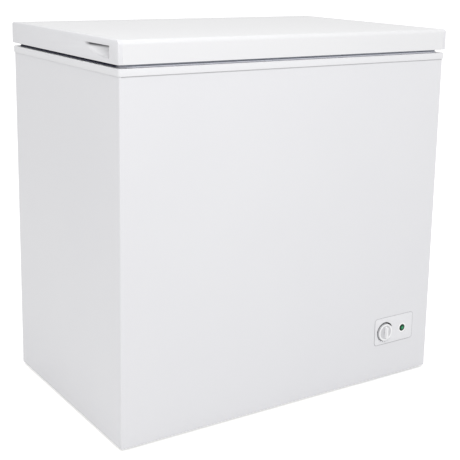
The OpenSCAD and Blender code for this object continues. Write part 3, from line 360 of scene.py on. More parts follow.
rivet_zinc = coating("rivet_zinc", (0.6, 0.6, 0.61), (0.48, 0.48, 0.5), 0.35, 1200, 0.00001, metal=0.9)
shell_low, shell_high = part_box("outer_shell")
rivets = bmesh.new()
rivet_pitch = 0.118
rivet_radius = 0.0032
rivet_flatness = 0.42
rivet_from_end = 0.03
rivet_from_side = 0.0085
last_rivet = 6
for side in (-1, 1):
    for step in range(last_rivet + 1):
        head = bmesh.ops.create_uvsphere(rivets, u_segments=12, v_segments=6, radius=rivet_radius)["verts"]
        height = shell_low.z + rivet_from_end + step * rivet_pitch
        if step == last_rivet:
            height = shell_high.z - rivet_from_end
        bmesh.ops.scale(rivets, verts=head, vec=(1, rivet_flatness, 1))
        bmesh.ops.translate(rivets, verts=head,
                            vec=(side * (shell_high.x - rivet_from_side), shell_high.y, height))
keep_shape(rivets, "back_sheet_rivets", "cabinet", rivet_zinc)

# ---- base pan and compressor tray ----
# Pressed galvanised steel. The pan steps up over the compressor bay, and the slotted tray
# closes the bay underneath and carries the compressor.
pan_zinc = spangled("pan_zinc", (0.58, 0.59, 0.6), (0.45, 0.46, 0.48), 0.45, 85)
dress(pan_zinc, "base_pan", "compressor_tray")

# ---- insulation ----
# Rigid polyurethane foam, poured in place between the steel and the liner. It is cream, with
# fine closed cells and slightly darker flow lines.
foam_cells = coating("poured_foam", (0.83, 0.72, 0.47), (0.7, 0.57, 0.33), 0.85, 700, 0.0004, patch=14)
dress(foam_cells, *[name for name in nodes if "foam" in name])

# ---- inner liner ----
# Painted aluminium sheet embossed with a fine pebble pattern, folded into the stepped well.
# The embossing hides dents and stiffens the thin sheet.
def softened(node, name, material, width, rings=2, sharper=30, pick=None, smooth_to=35):
    """A copy of a CAD node with its doubled points merged and its sharp edges rounded over."""
    shape = bmesh.new()
    shape.from_mesh(nodes[node].data)
    bmesh.ops.remove_doubles(shape, verts=shape.verts, dist=0.00002)
    bmesh.ops.dissolve_limit(shape, angle_limit=math.radians(0.4), verts=shape.verts, edges=shape.edges)
    edges = [edge for edge in shape.edges
             if len(edge.link_faces) == 2 and edge.calc_face_angle(0) > math.radians(sharper)
             and (pick is None or all(pick(end.co) for end in edge.verts))]
    bmesh.ops.bevel(shape, geom=edges, offset=width, offset_type="OFFSET", segments=rings,
                    profile=0.5, affect="EDGES", clamp_overlap=True, material=-1)
    piece = keep_shape(shape, name, nodes[node]["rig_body"], material, smooth_to)
    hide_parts(node)
    return piece


liner_white = coating("embossed_liner", (0.8, 0.81, 0.82), (0.74, 0.75, 0.77), 0.34, 160, 0.00035,
                      spread=0.1, patch=6, coat=0.15)
liner_low, liner_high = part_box("inner_liner")
sheet = 0.0013
step_edge = 0.155
step_height = 0.323
slack = 0.0002
rim_deep = 0.06
drain_clear = 0.01
drain_low, drain_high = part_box("drain_flange")


def in_well(place):
    """True for a point on the liner's inner face, below the rim and clear of the drain hole."""
    inside = (liner_low.x + sheet < place.x + slack and place.x - slack < liner_high.x - sheet
              and liner_low.y + sheet < place.y + slack and place.y - slack < liner_high.y - sheet)
    over_floor = liner_low.z + sheet < place.z + slack < liner_high.z - rim_deep
    under_step = place.x > step_edge + slack and place.z < step_height - slack
    by_drain = (drain_low.x - drain_clear < place.x < drain_high.x + drain_clear
                and drain_low.y - drain_clear < place.y < drain_high.y + drain_clear)
    return inside and over_floor and not under_step and not by_drain


softened("inner_liner", "stepped_liner", liner_white, 0.004, rings=4, pick=in_well)

# ---- top frame ----
# A white moulded frame that clips over the steel wrap, with a ledge inside for the baskets
# and the lid's plug. Its outer band has soft moulded edges.
frame_white = coating("frame_plastic_white", (0.8, 0.8, 0.815), (0.77, 0.77, 0.79), 0.36, 1500,
                      0.000002, spread=0.08, patch=7)
softened("top_frame", "frame_moulding", frame_white, 0.0009, rings=3)

# ---- painted shadow under the frame ----
# A thin grey bead under the front run of the frame, where it laps over the steel. It is painted
# shadow: a dark strip that stands in for the shade line under the frame's lip.
# Grey of the painted shadow line under the frame's lip.
frame_shadow_grey = coating("frame_shadow_grey", (0.5, 0.5, 0.51), (0.55, 0.55, 0.56), 0.6, 900, 0.00002)
band_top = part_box("top_frame")[1].z
band_deep = 0.015
bead_size = 0.0016
bead_round = 0.0004
bead_short = 0.008
bead_drop = 0.0007
frame_shadow_strip = bmesh.new()
bmesh.ops.create_cube(frame_shadow_strip, size=1)
bmesh.ops.scale(frame_shadow_strip, verts=frame_shadow_strip.verts, vec=(2 * shell_high.x - bead_short, bead_size, bead_size))
bmesh.ops.bevel(frame_shadow_strip, geom=frame_shadow_strip.edges[:], offset=bead_round, offset_type="OFFSET", segments=3,
                profile=0.5, affect="EDGES", clamp_overlap=True, material=-1)
bmesh.ops.translate(frame_shadow_strip, verts=frame_shadow_strip.verts,
                    vec=(0, shell_low.y, band_top - band_deep - bead_drop))
keep_shape(frame_shadow_strip, "frame_shadow_bead", "cabinet", frame_shadow_grey)

# ---- coils in the foam ----
# The evaporator is aluminium tube taped round the liner. The condenser is copper-coated steel
# tube, dark from its varnish, taped behind the wrap.
tube_aluminium = coating("drawn_aluminium", (0.72, 0.73, 0.74), (0.6, 0.61, 0.63), 0.35, 600,
                         0.00003, metal=0.9, patch=30)
tube_dark = coating("varnished_steel", (0.07, 0.065, 0.06), (0.04, 0.04, 0.045), 0.4, 500, 0.00003,
                    metal=0.4, patch=30)
dress(tube_aluminium, "evaporator_coil")
dress(tube_dark, "condenser_coil")

# ---- feet ----
# Four hard black plastic glides with a rubbed underside, each held up by one countersunk screw.
foot_black = coating("foot_plastic", (0.035, 0.035, 0.038), (0.055, 0.055, 0.058), 0.5, 900, 0.00005,
                     bare=(0.18, 0.18, 0.18), wear=0.6)
screw_zinc = coating("bright_zinc", (0.66, 0.67, 0.69), (0.52, 0.53, 0.56), 0.28, 900, 0.00002,
                     metal=0.95, patch=60)
softened("feet", "foot_glides", foot_black, 0.0006)
dress(screw_zinc, "foot_screws", "compressor_bolts", "cover_screws")

# ---- compressor bay ----
# A hermetic compressor in gloss black enamel on four rubber grommets, with its relay cover,
# copper pipes, filter drier and mains terminal block.
enamel_black = coating("compressor_enamel", (0.012, 0.012, 0.013), (0.03, 0.03, 0.032), 0.22, 260,
                       0.00006, coat=0.5, bare=(0.12, 0.12, 0.12))
rubber_black = coating("grommet_rubber", (0.02, 0.02, 0.021), (0.04, 0.04, 0.042), 0.72, 800, 0.00008)
plastic_black = coating("relay_plastic", (0.03, 0.03, 0.032), (0.05, 0.05, 0.052), 0.45, 1400, 0.00002)
pipe_copper = coating("brazed_copper", (0.72, 0.36, 0.22), (0.42, 0.2, 0.13), 0.3, 700, 0.00003,
                      metal=0.95, patch=40, amount=0.8)
block_ivory = coating("terminal_plastic", (0.78, 0.76, 0.66), (0.7, 0.68, 0.57), 0.5, 1400, 0.00002)
dress(enamel_black, "compressor")
dress(rubber_black, "compressor_grommets")
dress(plastic_black, "relay_cover", "wiring_harness")
dress(pipe_copper, "filter_drier", "capillary_tube", "suction_tube", "discharge_tube",
      "liquid_tube", "process_tube", "thermostat_sensor")
dress(block_ivory, "terminal_block", "thermostat_body")

# ---- bay cover ----
# A black painted steel plate with two columns of pressed air slots. It screws over the bay at
# the back, and a rubber grommet lines the mains inlet in its lower corner.
cover_black = coating("cover_powder_coat", (0.028, 0.028, 0.03), (0.045, 0.045, 0.048), 0.5, 1100,
                      0.00006, bare=(0.25, 0.25, 0.26), wear=0.5)
softened("compressor_cover", "bay_cover", cover_black, 0.0004, rings=2)
softened("cord_grommet", "inlet_grommet", rubber_black, 0.0006, rings=2)

# ---- control panel ----
# A thin moulded plate that clips into a window low on the front. A grey strip painted round it
# stands in for the shade line at the plate's edge, and its scale and lamp ring are printed or moulded on.
panel_white = coating("panel_plastic_white", (0.8, 0.8, 0.82), (0.775, 0.775, 0.8), 0.3, 1700,
                      0.000002, spread=0.08, patch=12)
softened("control_panel", "control_plate", panel_white, 0.0004, rings=3)

panel_low, panel_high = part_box("control_panel")
plate_face = panel_low.y
plate_middle = Vector(((panel_low.x + panel_high.x) / 2, plate_face, (panel_low.z + panel_high.z) / 2))
plate_width = panel_high.x - panel_low.x
plate_height = panel_high.z - panel_low.z
shadow_proud = 0.0007
shadow_deep = 0.0006
shadow_aside = 0.0003
shadow_down = 0.0004
plate_corner = 0.007
# Painted shadow: a grey strip just outside the plate's edge, for the shade line round the plate.
plate_shadow_grey = coating("panel_shadow_line", (0.3, 0.3, 0.315), (0.36, 0.36, 0.37), 0.6, 900, 0.00003)
plate_shadow = bmesh.new()
bmesh.ops.create_cube(plate_shadow, size=1)
bmesh.ops.scale(plate_shadow, verts=plate_shadow.verts,
                vec=(plate_width + 2 * shadow_proud, shadow_deep, plate_height + 2 * shadow_proud))
bmesh.ops.bevel(plate_shadow, geom=[edge for edge in plate_shadow.edges
                            if abs(edge.verts[0].co.y - edge.verts[1].co.y) > shadow_deep / 2],
                offset=plate_corner + shadow_proud, offset_type="OFFSET", segments=10, profile=0.5,
                affect="EDGES", clamp_overlap=True, material=-1)
bmesh.ops.translate(plate_shadow, verts=plate_shadow.verts,
                    vec=(plate_middle.x + shadow_aside, shell_low.y - shadow_deep / 2,
                         plate_middle.z - shadow_down))
keep_shape(plate_shadow, "panel_shadow_line", "cabinet", plate_shadow_grey)

# ---- printed scale ----
# Pad-printed charcoal ink on the plate: a wedge that thickens clockwise round the knob from
# little to most cold, with short marks below it.
knob_low, knob_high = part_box("thermostat_knob")
dial = Vector(((knob_low.x + knob_high.x) / 2, plate_face, (knob_low.z + knob_high.z) / 2))
knob_radius = (knob_high.x - knob_low.x) / 2
ink_thick = 0.00006
scale_ink = coating("charcoal_ink", (0.03, 0.032, 0.037), (0.06, 0.06, 0.066), 0.5, 2500, 0.00001)
pale_ink = coating("grey_ink", (0.3, 0.3, 0.32), (0.36, 0.36, 0.38), 0.5, 2500, 0.00001)
mid_ink = coating("slate_ink", (0.13, 0.13, 0.145), (0.17, 0.17, 0.18), 0.5, 2500, 0.00001)


def ink_ring(name, material, inner, outer, first, last, steps, taper):
    """A piece of ink: an arc that narrows towards its last end, raised a hair off the plate."""
    shape = bmesh.new()
    ends = [shape.verts.new((radius, 0, 0)) for radius in (inner, outer)]
    line = shape.edges.new(ends)
    bmesh.ops.spin(shape, geom=[*ends, line], cent=(0, 0, 0), axis=(0, -1, 0), dvec=(0, 0, 0),
                   angle=math.radians(last - first), steps=steps)
    for point in shape.verts:
        radius = point.co.length
        turned = math.degrees(math.atan2(point.co.z, point.co.x)) % 360
        along = min(max(turned / (last - first), 0), 1)
        if radius > (inner + outer) / 2:
            point.co *= (inner + (outer - inner) * (1 - taper * along)) / radius
    bmesh.ops.rotate(shape, verts=shape.verts, cent=(0, 0, 0),
                     matrix=Matrix.Rotation(math.radians(-first), 3, "Y"))
    bmesh.ops.solidify(shape, geom=shape.faces[:], thickness=ink_thick)
    bmesh.ops.recalc_face_normals(shape, faces=shape.faces)
    bmesh.ops.translate(shape, verts=shape.verts, vec=dial)
    return keep_shape(shape, name, "cabinet", material)


ink_ring("scale_wedge", scale_ink, knob_radius + 0.0004, knob_radius + 0.0042, 26, 150, 30, 0.55)
ink_ring("scale_tail", mid_ink, knob_radius + 0.0006, knob_radius + 0.0026, 150, 252, 24, 0.4)
ink_ring("scale_return", pale_ink, knob_radius + 0.0016, knob_radius + 0.0036, 318, 352, 12, 0.4)

mark_long = 0.003
mark_wide = 0.0016
mark_out = 0.0036
marks = bmesh.new()
for clock in (222, 240, 258, 276, 294, 309):
    mark = bmesh.ops.create_cube(marks, size=1)["verts"]
    bmesh.ops.scale(marks, verts=mark, vec=(mark_long, ink_thick, mark_wide))
    bmesh.ops.translate(marks, verts=mark, vec=(knob_radius + mark_out, 0, 0))
    bmesh.ops.rotate(marks, verts=mark, cent=(0, 0, 0),
                     matrix=Matrix.Rotation(math.radians(-clock), 3, "Y"))
bmesh.ops.translate(marks, verts=marks.verts, vec=dial)
keep_shape(marks, "scale_marks", "cabinet", pale_ink)

# ---- thermostat knob ----
# A gloss white moulded knob: a dished disc with a raised rim, and a rounded grip bar across
# it that also points at the scale. It pushes onto the D-shaped end of the thermostat shaft.
knob_white = coating("knob_plastic_white", (0.93, 0.93, 0.94), (0.89, 0.89, 0.9), 0.24, 1800,
                     0.000001, spread=0.08, patch=20, coat=0.3)
dish_radius = knob_radius * 0.79
knob_back = knob_high.y
knob_gap = 0.0004
disc_thick = 0.005
disc_front = plate_face - knob_gap - disc_thick
dish_floor = disc_front + 0.0018
bar_front = knob_low.y + 0.0012
# Painted shade: the dish floor is mixed towards grey, for the shade in the dished hollow; the plastic
# itself is one white.
knob_tree = knob_white.node_tree
knob_shader = knob_tree.nodes["Principled BSDF"]
knob_clean = knob_shader.inputs["Base Color"].links[0].from_socket
knob_place = knob_tree.nodes.new("ShaderNodeTexCoord")
knob_spot = knob_tree.nodes.new("ShaderNodeSeparateXYZ")
dish_shade_mask = ramp(knob_tree, disc_front + 0.0002, disc_front + 0.0016)
knob_dish_shade = mixed(knob_tree, B=(0.6, 0.6, 0.62))
join(knob_tree,
     (knob_place.outputs["Object"], knob_spot.inputs["Vector"]),
     (knob_spot.outputs["Y"], dish_shade_mask.inputs["Value"]),
     (dish_shade_mask.outputs["Result"], knob_dish_shade.inputs["Factor"]),
     (knob_clean, knob_dish_shade.inputs["A"]),
     (knob_dish_shade.outputs["Result"], knob_shader.inputs["Base Color"]))


def turned(shape, profile, steps):
    """Turns a line of radius and depth pairs once round the Y axis."""
    stations = [shape.verts.new((radius, depth, 0)) for radius, depth in profile]
    lines = [shape.edges.new(pair) for pair in zip(stations, stations[1:])]
    bmesh.ops.spin(shape, geom=stations + lines, cent=(0, 0, 0), axis=(0, 1, 0), dvec=(0, 0, 0),
                   angle=math.radians(360), steps=steps, use_merge=True)
    bmesh.ops.remove_doubles(shape, verts=shape.verts, dist=0.00001)


knob = bmesh.new()
profile = [(0.0032, knob_back), (knob_radius - 0.0004, knob_back), (knob_radius, knob_back - 0.0006),
           (knob_radius, disc_front + 0.0016), (knob_radius - 0.0005, disc_front + 0.0005),
           (knob_radius - 0.0016, disc_front), (dish_radius + 0.0012, disc_front),
           (dish_radius + 0.0002, disc_front + 0.0004), (dish_radius - 0.0006, disc_front + 0.0014),
           (0.0, disc_front + 0.0017)]
turned(knob, profile, 72)
bar_half = 0.003
bar_reach = dish_radius - 0.0018
bar = bmesh.ops.create_cube(knob, size=1)["verts"]
bmesh.ops.scale(knob, verts=bar, vec=(2 * bar_half, dish_floor - bar_front, 2 * bar_reach))
bmesh.ops.translate(knob, verts=bar, vec=(0, (dish_floor + bar_front) / 2, 0))
for corner in bar:
    if corner.co.y < disc_front - 0.002:
        corner.co.x *= 0.72
        corner.co.z *= 0.93
bar_edges = {edge for corner in bar for edge in corner.link_edges}
bmesh.ops.bevel(knob, geom=[edge for edge in bar_edges
                            if abs(edge.verts[0].co.y - edge.verts[1].co.y) > 0.004],
                offset=0.0024, offset_type="OFFSET", segments=6, profile=0.5, affect="EDGES",
                clamp_overlap=True, material=-1)
front_rim = [edge for edge in knob.edges if len(edge.link_faces) == 2
             and all(abs(end.co.y - bar_front) < 0.0001 for end in edge.verts)
             and edge.calc_face_angle(0) > 0.5]
bmesh.ops.bevel(knob, geom=front_rim, offset=0.0009, offset_type="OFFSET", segments=4,
                profile=0.5, affect="EDGES", clamp_overlap=True, material=-1)
bmesh.ops.recalc_face_normals(knob, faces=knob.faces)
bmesh.ops.translate(knob, verts=knob.verts, vec=(dial.x, 0, dial.z))
knob_piece = keep_shape(knob, "control_knob", "knob", knob_white)
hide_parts("thermostat_knob")
dress(screw_zinc, "thermostat_shaft")

# ---- power lamp ----
# A domed green lens pushed through the plate, with a neon lamp behind it and a raised white
# ring round it.
lens_low, lens_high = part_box("indicator_lens")
lens_middle = Vector(((lens_low.x + lens_high.x) / 2, plate_face, (lens_low.z + lens_high.z) / 2))
lens_radius = (lens_high.x - lens_low.x) / 2
lens_proud = plate_face - lens_low.y

green = bpy.data.materials.new("green_lens")
green.use_nodes = True
green_tree = green.node_tree
green_shader = green_tree.nodes["Principled BSDF"]
green_shader.inputs["Roughness"].default_value = 0.25
green_shader.inputs["Specular IOR Level"].default_value = 0.3
green_spot = green_tree.nodes.new("ShaderNodeTexCoord")
green_centre = green_tree.nodes.new("ShaderNodeMapping")
green_centre.inputs["Location"].default_value = -lens_middle
green_reach = green_tree.nodes.new("ShaderNodeVectorMath")
green_reach.operation = "LENGTH"
green_ramp = green_tree.nodes.new("ShaderNodeValToRGB")
green_ramp.color_ramp.elements[0].position = 0.05
green_ramp.color_ramp.elements[0].color = (0.03, 0.42, 0.16, 1)
green_ramp.color_ramp.elements[1].position = 0.62
green_ramp.color_ramp.elements[1].color = (0.0, 0.028, 0.01, 1)
green_share = maths(green_tree, "DIVIDE", lens_radius)
join(green_tree,
     (green_spot.outputs["Object"], green_centre.inputs["Vector"]),
     (green_centre.outputs["Vector"], green_reach.inputs[0]),
     (green_reach.outputs["Value"], green_share.inputs[0]),
     (green_share.outputs["Value"], green_ramp.inputs["Fac"]),
     (green_ramp.outputs["Color"], green_shader.inputs["Base Color"]),
     (green_ramp.outputs["Color"], green_shader.inputs["Emission Color"]))
green_shader.inputs["Emission Strength"].default_value = 0.15

lens = bmesh.new()
dome_radius = (lens_radius ** 2 + lens_proud ** 2) / (2 * lens_proud)
dome_steps = 8
lens_stem = 0.003
arc = [(0.0, plate_face - lens_proud)]
for step in range(1, dome_steps + 1):
    reach = lens_radius * step / dome_steps
    arc.append((reach, plate_face - lens_proud + dome_radius - math.sqrt(dome_radius ** 2 - reach ** 2)))
arc += [(lens_radius, plate_face + lens_stem), (0.0, plate_face + lens_stem)]
turned(lens, arc, 48)
bmesh.ops.recalc_face_normals(lens, faces=lens.faces)
bmesh.ops.translate(lens, verts=lens.verts, vec=(lens_middle.x, 0, lens_middle.z))
lens_piece = keep_shape(lens, "lamp_lens", "cabinet", green)
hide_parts("indicator_lens")

ring = bmesh.new()
ring_thick = 0.0015
bead = bmesh.ops.create_circle(ring, cap_ends=False, segments=10, radius=ring_thick)["verts"]
bmesh.ops.scale(ring, verts=bead, vec=(1.2, 0.8, 1))
bmesh.ops.translate(ring, verts=bead, vec=(lens_radius + ring_thick, plate_face, 0))
bmesh.ops.spin(ring, geom=ring.verts[:] + ring.edges[:], cent=(0, 0, 0), axis=(0, 1, 0),
               dvec=(0, 0, 0), angle=math.radians(360), steps=56, use_merge=True)
bmesh.ops.remove_doubles(ring, verts=ring.verts, dist=0.00001)
bmesh.ops.recalc_face_normals(ring, faces=ring.faces)
bmesh.ops.translate(ring, verts=ring.verts, vec=(lens_middle.x, 0, lens_middle.z))
ring_white = coating("lamp_ring_white", (0.97, 0.97, 0.97), (0.95, 0.95, 0.95), 0.25, 1500, 0.000002)
keep_shape(ring, "lamp_ring", "cabinet", ring_white)
lamp_glass = coating("neon_glass", (0.75, 0.5, 0.35), (0.6, 0.35, 0.25), 0.1, 300, 0.00001, coat=0.8)
dress(lamp_glass, "indicator_lamp")

# ---- drain ----
# A white plastic outlet in the well's floor with a dark rubber plug, and a tube through the
# foam to a finger-turned cap at the back.
softened("drain_flange", "drain_outlet", frame_white, 0.0005)
dress(frame_white, "drain_tube")
softened("drain_plug", "rubber_drain_plug", rubber_black, 0.0006)
softened("drain_cap", "drain_outlet_cap", frame_white, 0.0006)

# ---- hinges ----
# Spring-loaded steel hinges: a plated bracket on the back, a pin with a peened head, washers,
# and a leaf screwed to the lid, under a white clip-on cover.
hinge_plate = coating("hinge_zinc", (0.62, 0.63, 0.64), (0.5, 0.5, 0.52), 0.32, 800, 0.00003,
                      metal=0.9, patch=40, bare=(0.75, 0.75, 0.76), wear=0.6)
for node, plate in (("hinge_bracket", "bracket"), ("lid_leaf", "leaf")):
    for hand in ("left", "right"):
        softened(f"{node}_{hand}", f"{plate}_{hand}", hinge_plate, 0.0004)
softened("hinge_pins", "pivot_pins", screw_zinc, 0.0003)
dress(hinge_plate, "hinge_washers")
dress(screw_zinc, "hinge_screws", "lid_hinge_screws")
softened("hinge_covers", "hinge_shrouds", frame_white, 0.0009, rings=3)

# ---- lid ----
# Coated sheet rolled over the long edges, a moulded cap on each end with the handle recess,
# and a vacuum-formed liner with a plug that sits down into the well.
lid_enamel = coating("lid_enamel", (0.79, 0.79, 0.8), (0.77, 0.77, 0.785), 0.32, 220, 0.000003,
                     spread=0.03, patch=2.4, coat=0.2)
cap_white = coating("end_cap_plastic", (0.775, 0.775, 0.795), (0.75, 0.75, 0.775), 0.34, 1500,
                    0.000002, spread=0.08, patch=7)
cap_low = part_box("lid_cap_left")[0]
recess_top = cap_low.z + 0.034
recess_middle = cap_low.y + 0.0935
recess_half = 0.062
# Painted light and shade in each handle recess: the scoop is painted lighter than the cap, as if lit, and
# a near-black band just under the recess's top lip is its painted shadow.
cap_tree = cap_white.node_tree
cap_shader = cap_tree.nodes["Principled BSDF"]
cap_clean = cap_shader.inputs["Base Color"].links[0].from_socket
cap_place = cap_tree.nodes.new("ShaderNodeTexCoord")
cap_spot = cap_tree.nodes.new("ShaderNodeSeparateXYZ")
cap_end = maths(cap_tree, "ABSOLUTE")
inside = ramp(cap_tree, -cap_low.x - 0.0006, -cap_low.x - 0.004)
shadow_band_under_lip = ramp(cap_tree, recess_top - 0.008, recess_top - 0.0035)
in_height = maths(cap_tree, "LESS_THAN", recess_top + 0.001)
along_recess = maths(cap_tree, "COMPARE", recess_middle, recess_half)
in_recess = maths(cap_tree, "MULTIPLY")
in_scoop = maths(cap_tree, "MULTIPLY")
scoop_painted_light = mixed(cap_tree, B=(0.93, 0.93, 0.95))
lip_shadow = maths(cap_tree, "MULTIPLY")
lip_shadow_in_recess = maths(cap_tree, "MULTIPLY")
cap_light_and_shade = mixed(cap_tree, B=(0.07, 0.07, 0.078))
join(cap_tree,
     (cap_place.outputs["Object"], cap_spot.inputs["Vector"]),
     (cap_spot.outputs["X"], cap_end.inputs[0]),
     (cap_end.outputs["Value"], inside.inputs["Value"]),
     (cap_spot.outputs["Z"], shadow_band_under_lip.inputs["Value"]),
     (cap_spot.outputs["Z"], in_height.inputs[0]),
     (cap_spot.outputs["Y"], along_recess.inputs[0]),
     (in_height.outputs["Value"], in_recess.inputs[0]),
     (along_recess.outputs["Value"], in_recess.inputs[1]),
     (in_recess.outputs["Value"], in_scoop.inputs[0]),
     (inside.outputs["Result"], in_scoop.inputs[1]),
     (in_scoop.outputs["Value"], scoop_painted_light.inputs["Factor"]),
     (cap_clean, scoop_painted_light.inputs["A"]),
     (inside.outputs["Result"], lip_shadow.inputs[0]),
     (shadow_band_under_lip.outputs["Result"], lip_shadow.inputs[1]),
     (lip_shadow.outputs["Value"], lip_shadow_in_recess.inputs[0]),
     (in_recess.outputs["Value"], lip_shadow_in_recess.inputs[1]),
     (lip_shadow_in_recess.outputs["Value"], cap_light_and_shade.inputs["Factor"]),
     (scoop_painted_light.outputs["Result"], cap_light_and_shade.inputs["A"]),
     (cap_light_and_shade.outputs["Result"], cap_shader.inputs["Base Color"]))
softened("lid_skin", "lid_sheet", lid_enamel, 0.0002, rings=1, sharper=60)
for hand in ("left", "right"):
    softened(f"lid_cap_{hand}", f"end_cap_{hand}", cap_white, 0.0004, rings=2)
plug_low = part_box("lid_liner")[0].z
softened("lid_liner", "formed_lid_liner", frame_white, 0.003, rings=5,
         pick=lambda place: place.z < plug_low + 0.0001)

# ---- gasket ----
# Extruded soft vinyl, welded at its corners: a magnet strip in the foot, and a bellows above it
# that lets the foot reach down to the frame. Light is painted on the front run: lit greys, paler at the
# foot.
gasket_vinyl = coating("gasket_vinyl", (0.004, 0.006, 0.032), (0.006, 0.009, 0.04), 0.45, 900, 0.00001)
gasket_low, gasket_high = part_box("lid_gasket")
vinyl_tree = gasket_vinyl.node_tree
vinyl_shader = vinyl_tree.nodes["Principled BSDF"]
vinyl_dark = vinyl_shader.inputs["Base Color"].links[0].from_socket
vinyl_spot = vinyl_tree.nodes.new("ShaderNodeSeparateXYZ")
vinyl_place = vinyl_tree.nodes.new("ShaderNodeTexCoord")
front_run = ramp(vinyl_tree, gasket_low.y + 0.022, gasket_low.y + 0.012)
foot_band = ramp(vinyl_tree, gasket_low.z + 0.0036, gasket_low.z + 0.0028)
# Painted light: lit greys for the front run, paler along its foot; the other runs keep the dark vinyl
# colour.
front_run_lit_greys = mixed(vinyl_tree, A=(0.33, 0.35, 0.4), B=(0.68, 0.69, 0.75))
gasket_lit_and_dark = mixed(vinyl_tree)
join(vinyl_tree,
     (vinyl_place.outputs["Object"], vinyl_spot.inputs["Vector"]),
     (vinyl_spot.outputs["Y"], front_run.inputs["Value"]),
     (vinyl_spot.outputs["Z"], foot_band.inputs["Value"]),
     (foot_band.outputs["Result"], front_run_lit_greys.inputs["Factor"]),
     (front_run.outputs["Result"], gasket_lit_and_dark.inputs["Factor"]),
     (vinyl_dark, gasket_lit_and_dark.inputs["A"]),
     (front_run_lit_greys.outputs["Result"], gasket_lit_and_dark.inputs["B"]),
     (gasket_lit_and_dark.outputs["Result"], vinyl_shader.inputs["Base Color"]))

gasket_bend = 0.032
section = [(1.5, 0), (24.5, 0), (26, 0.8), (26, 2.6), (23.5, 3.3), (22.8, 4.0), (25.2, 4.8),
           (25.6, 5.6), (22, 7.2), (4, 7.2), (0.4, 5.8), (0.9, 4.9), (3.6, 4.1), (3.0, 3.3),
           (0, 2.6), (0, 0.8)]
gasket = bmesh.new()
loop = [gasket.verts.new((gasket_low.x + gasket_bend, gasket_low.y + inward / 1000,
                          gasket_low.z + rise / 1000)) for inward, rise in section]
moving = loop + [gasket.edges.new(pair) for pair in zip(loop, loop[1:] + loop[:1])]
long_run = gasket_high.x - gasket_low.x - 2 * gasket_bend
short_run = gasket_high.y - gasket_low.y - 2 * gasket_bend
turns = [((long_run, 0, 0), (gasket_high.x - gasket_bend, gasket_low.y + gasket_bend, 0)),
         ((0, short_run, 0), (gasket_high.x - gasket_bend, gasket_high.y - gasket_bend, 0)),
         ((-long_run, 0, 0), (gasket_low.x + gasket_bend, gasket_high.y - gasket_bend, 0)),
         ((0, -short_run, 0), (gasket_low.x + gasket_bend, gasket_low.y + gasket_bend, 0))]
for travel, centre in turns:
    drawn = bmesh.ops.extrude_edge_only(
        gasket, edges=[part for part in moving if isinstance(part, bmesh.types.BMEdge)])["geom"]
    moving = [part for part in drawn if not isinstance(part, bmesh.types.BMFace)]
    bmesh.ops.translate(gasket, vec=travel,
                        verts=[part for part in moving if isinstance(part, bmesh.types.BMVert)])
    moving = bmesh.ops.spin(gasket, geom=moving, cent=centre, axis=(0, 0, 1), dvec=(0, 0, 0),
                            angle=math.radians(90), steps=10)["geom_last"]
bmesh.ops.remove_doubles(gasket, verts=gasket.verts, dist=0.00001)
bmesh.ops.recalc_face_normals(gasket, faces=gasket.faces)
gasket_piece = keep_shape(gasket, "bellows_gasket", "lid", gasket_vinyl, 50)
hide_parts("lid_gasket")
magnet_grey = coating("magnet_ferrite", (0.06, 0.058, 0.055), (0.1, 0.09, 0.085), 0.6, 900, 0.00001)
dress(magnet_grey, "gasket_magnets")

# ---- basket ----
# Round steel wire, bent into hoops, spot welded where they cross and dipped in white plastic.
# A thick bar at each end rests on the frame's ledge, and the basket slides along it.
wire_white = coating("dipped_wire", (0.84, 0.84, 0.84), (0.78, 0.78, 0.79), 0.3, 500, 0.000004,
                     spread=0.1, patch=30, coat=0.2)
basket_low, basket_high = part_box("basket")
thin_wire = 0.0013
thick_wire = 0.0023
bar_height = basket_high.z - 0.002
bar_reach = (basket_high.y - basket_low.y) / 2 - 0.002
basket_middle = (basket_high.y + basket_low.y) / 2
rim_height = bar_height - 0.0128
wall_reach = bar_reach - 0.0177
left_wall = basket_low.x + thick_wire
right_wall = basket_high.x - thick_wire
floor_height = basket_low.z + thin_wire


def bent(corners, radius, closed=False, steps=5):
    """The points of a wire that is bent to a radius at each of its corners."""
    count = len(corners)
    points = [] if closed else [corners[0]]
    for index in range(0 if closed else 1, count if closed else count - 1):
        here = Vector(corners[index])
        back = (Vector(corners[index - 1]) - here).normalized()
        on = (Vector(corners[(index + 1) % count]) - here).normalized()
        for step in range(steps + 1):
            share = step / steps
            points.append(here + radius * ((1 - share) ** 2 * back + share ** 2 * on))
    return points if closed else points + [corners[-1]]


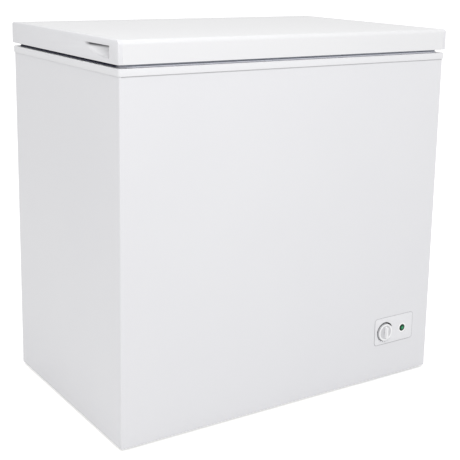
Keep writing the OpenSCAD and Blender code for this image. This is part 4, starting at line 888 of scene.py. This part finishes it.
def wire(shape, points, radius, closed=False):
    """Adds one round wire along points to a shape."""
    line = bpy.data.curves.new("wire", "CURVE")
    line.dimensions = "3D"
    line.bevel_depth = radius
    line.bevel_resolution = 2
    line.use_fill_caps = True
    spline = line.splines.new("POLY")
    spline.points.add(len(points) - 1)
    for place, point in zip(spline.points, points):
        place.co = (*point, 1)
    spline.use_cyclic_u = closed
    holder = bpy.data.objects.new("wire", line)
    drawn = bpy.data.meshes.new_from_object(holder)
    shape.from_mesh(drawn)
    bpy.data.objects.remove(holder)
    bpy.data.curves.remove(line)
    bpy.data.meshes.remove(drawn)


def hoop(height, draw_in, radius, bend):
    """A level hoop round the basket, drawn in from the rim by a distance."""
    x0, x1 = left_wall + draw_in, right_wall - draw_in
    y0, y1 = basket_middle - wall_reach + draw_in, basket_middle + wall_reach - draw_in
    wire(basket, bent([(x0, y0, height), (x1, y0, height), (x1, y1, height), (x0, y1, height)],
                      bend, closed=True), radius, closed=True)


basket = bmesh.new()
taper = 0.006
wire_bend = 0.014
wire_inset = 0.02
cross_wires = 10
long_wires = 16
hoop(rim_height, 0, thick_wire, 0.02)
for share in (0.28, 0.56, 0.82):
    hoop(rim_height + share * (floor_height - rim_height), share * taper, thin_wire, 0.018)
near_wall = basket_middle - wall_reach
far_wall = basket_middle + wall_reach
for step in range(cross_wires):
    x = left_wall + wire_inset + step * (right_wall - left_wall - 2 * wire_inset) / (cross_wires - 1)
    ends = [(x, near_wall, rim_height), (x, near_wall + taper, floor_height),
            (x, far_wall - taper, floor_height), (x, far_wall, rim_height)]
    wire(basket, bent(ends, wire_bend), thin_wire)
upper_floor = floor_height + 2 * thin_wire
for step in range(long_wires):
    y = near_wall + wire_inset + step * (2 * wall_reach - 2 * wire_inset) / (long_wires - 1)
    ends = [(left_wall, y, rim_height), (left_wall + taper, y, upper_floor),
            (right_wall - taper, y, upper_floor), (right_wall, y, rim_height)]
    wire(basket, bent(ends, wire_bend), thin_wire)
bar_wire = 0.0019
bar_bend = 0.004
bar_left = left_wall + 0.032
bar_right = right_wall - 0.032
bar_foot = rim_height - 0.03
for end in (-1, 1):
    y = basket_middle + end * bar_reach
    wall = basket_middle + end * wall_reach
    wire(basket, bent([(bar_left, wall, bar_foot), (bar_left, wall, bar_height),
                       (bar_left, y, bar_height), (bar_right, y, bar_height),
                       (bar_right, wall, bar_height), (bar_right, wall, bar_foot)],
                      bar_bend), bar_wire)
basket_piece = keep_shape(basket, "wire_basket", "basket", wire_white, 60)
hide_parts("basket")
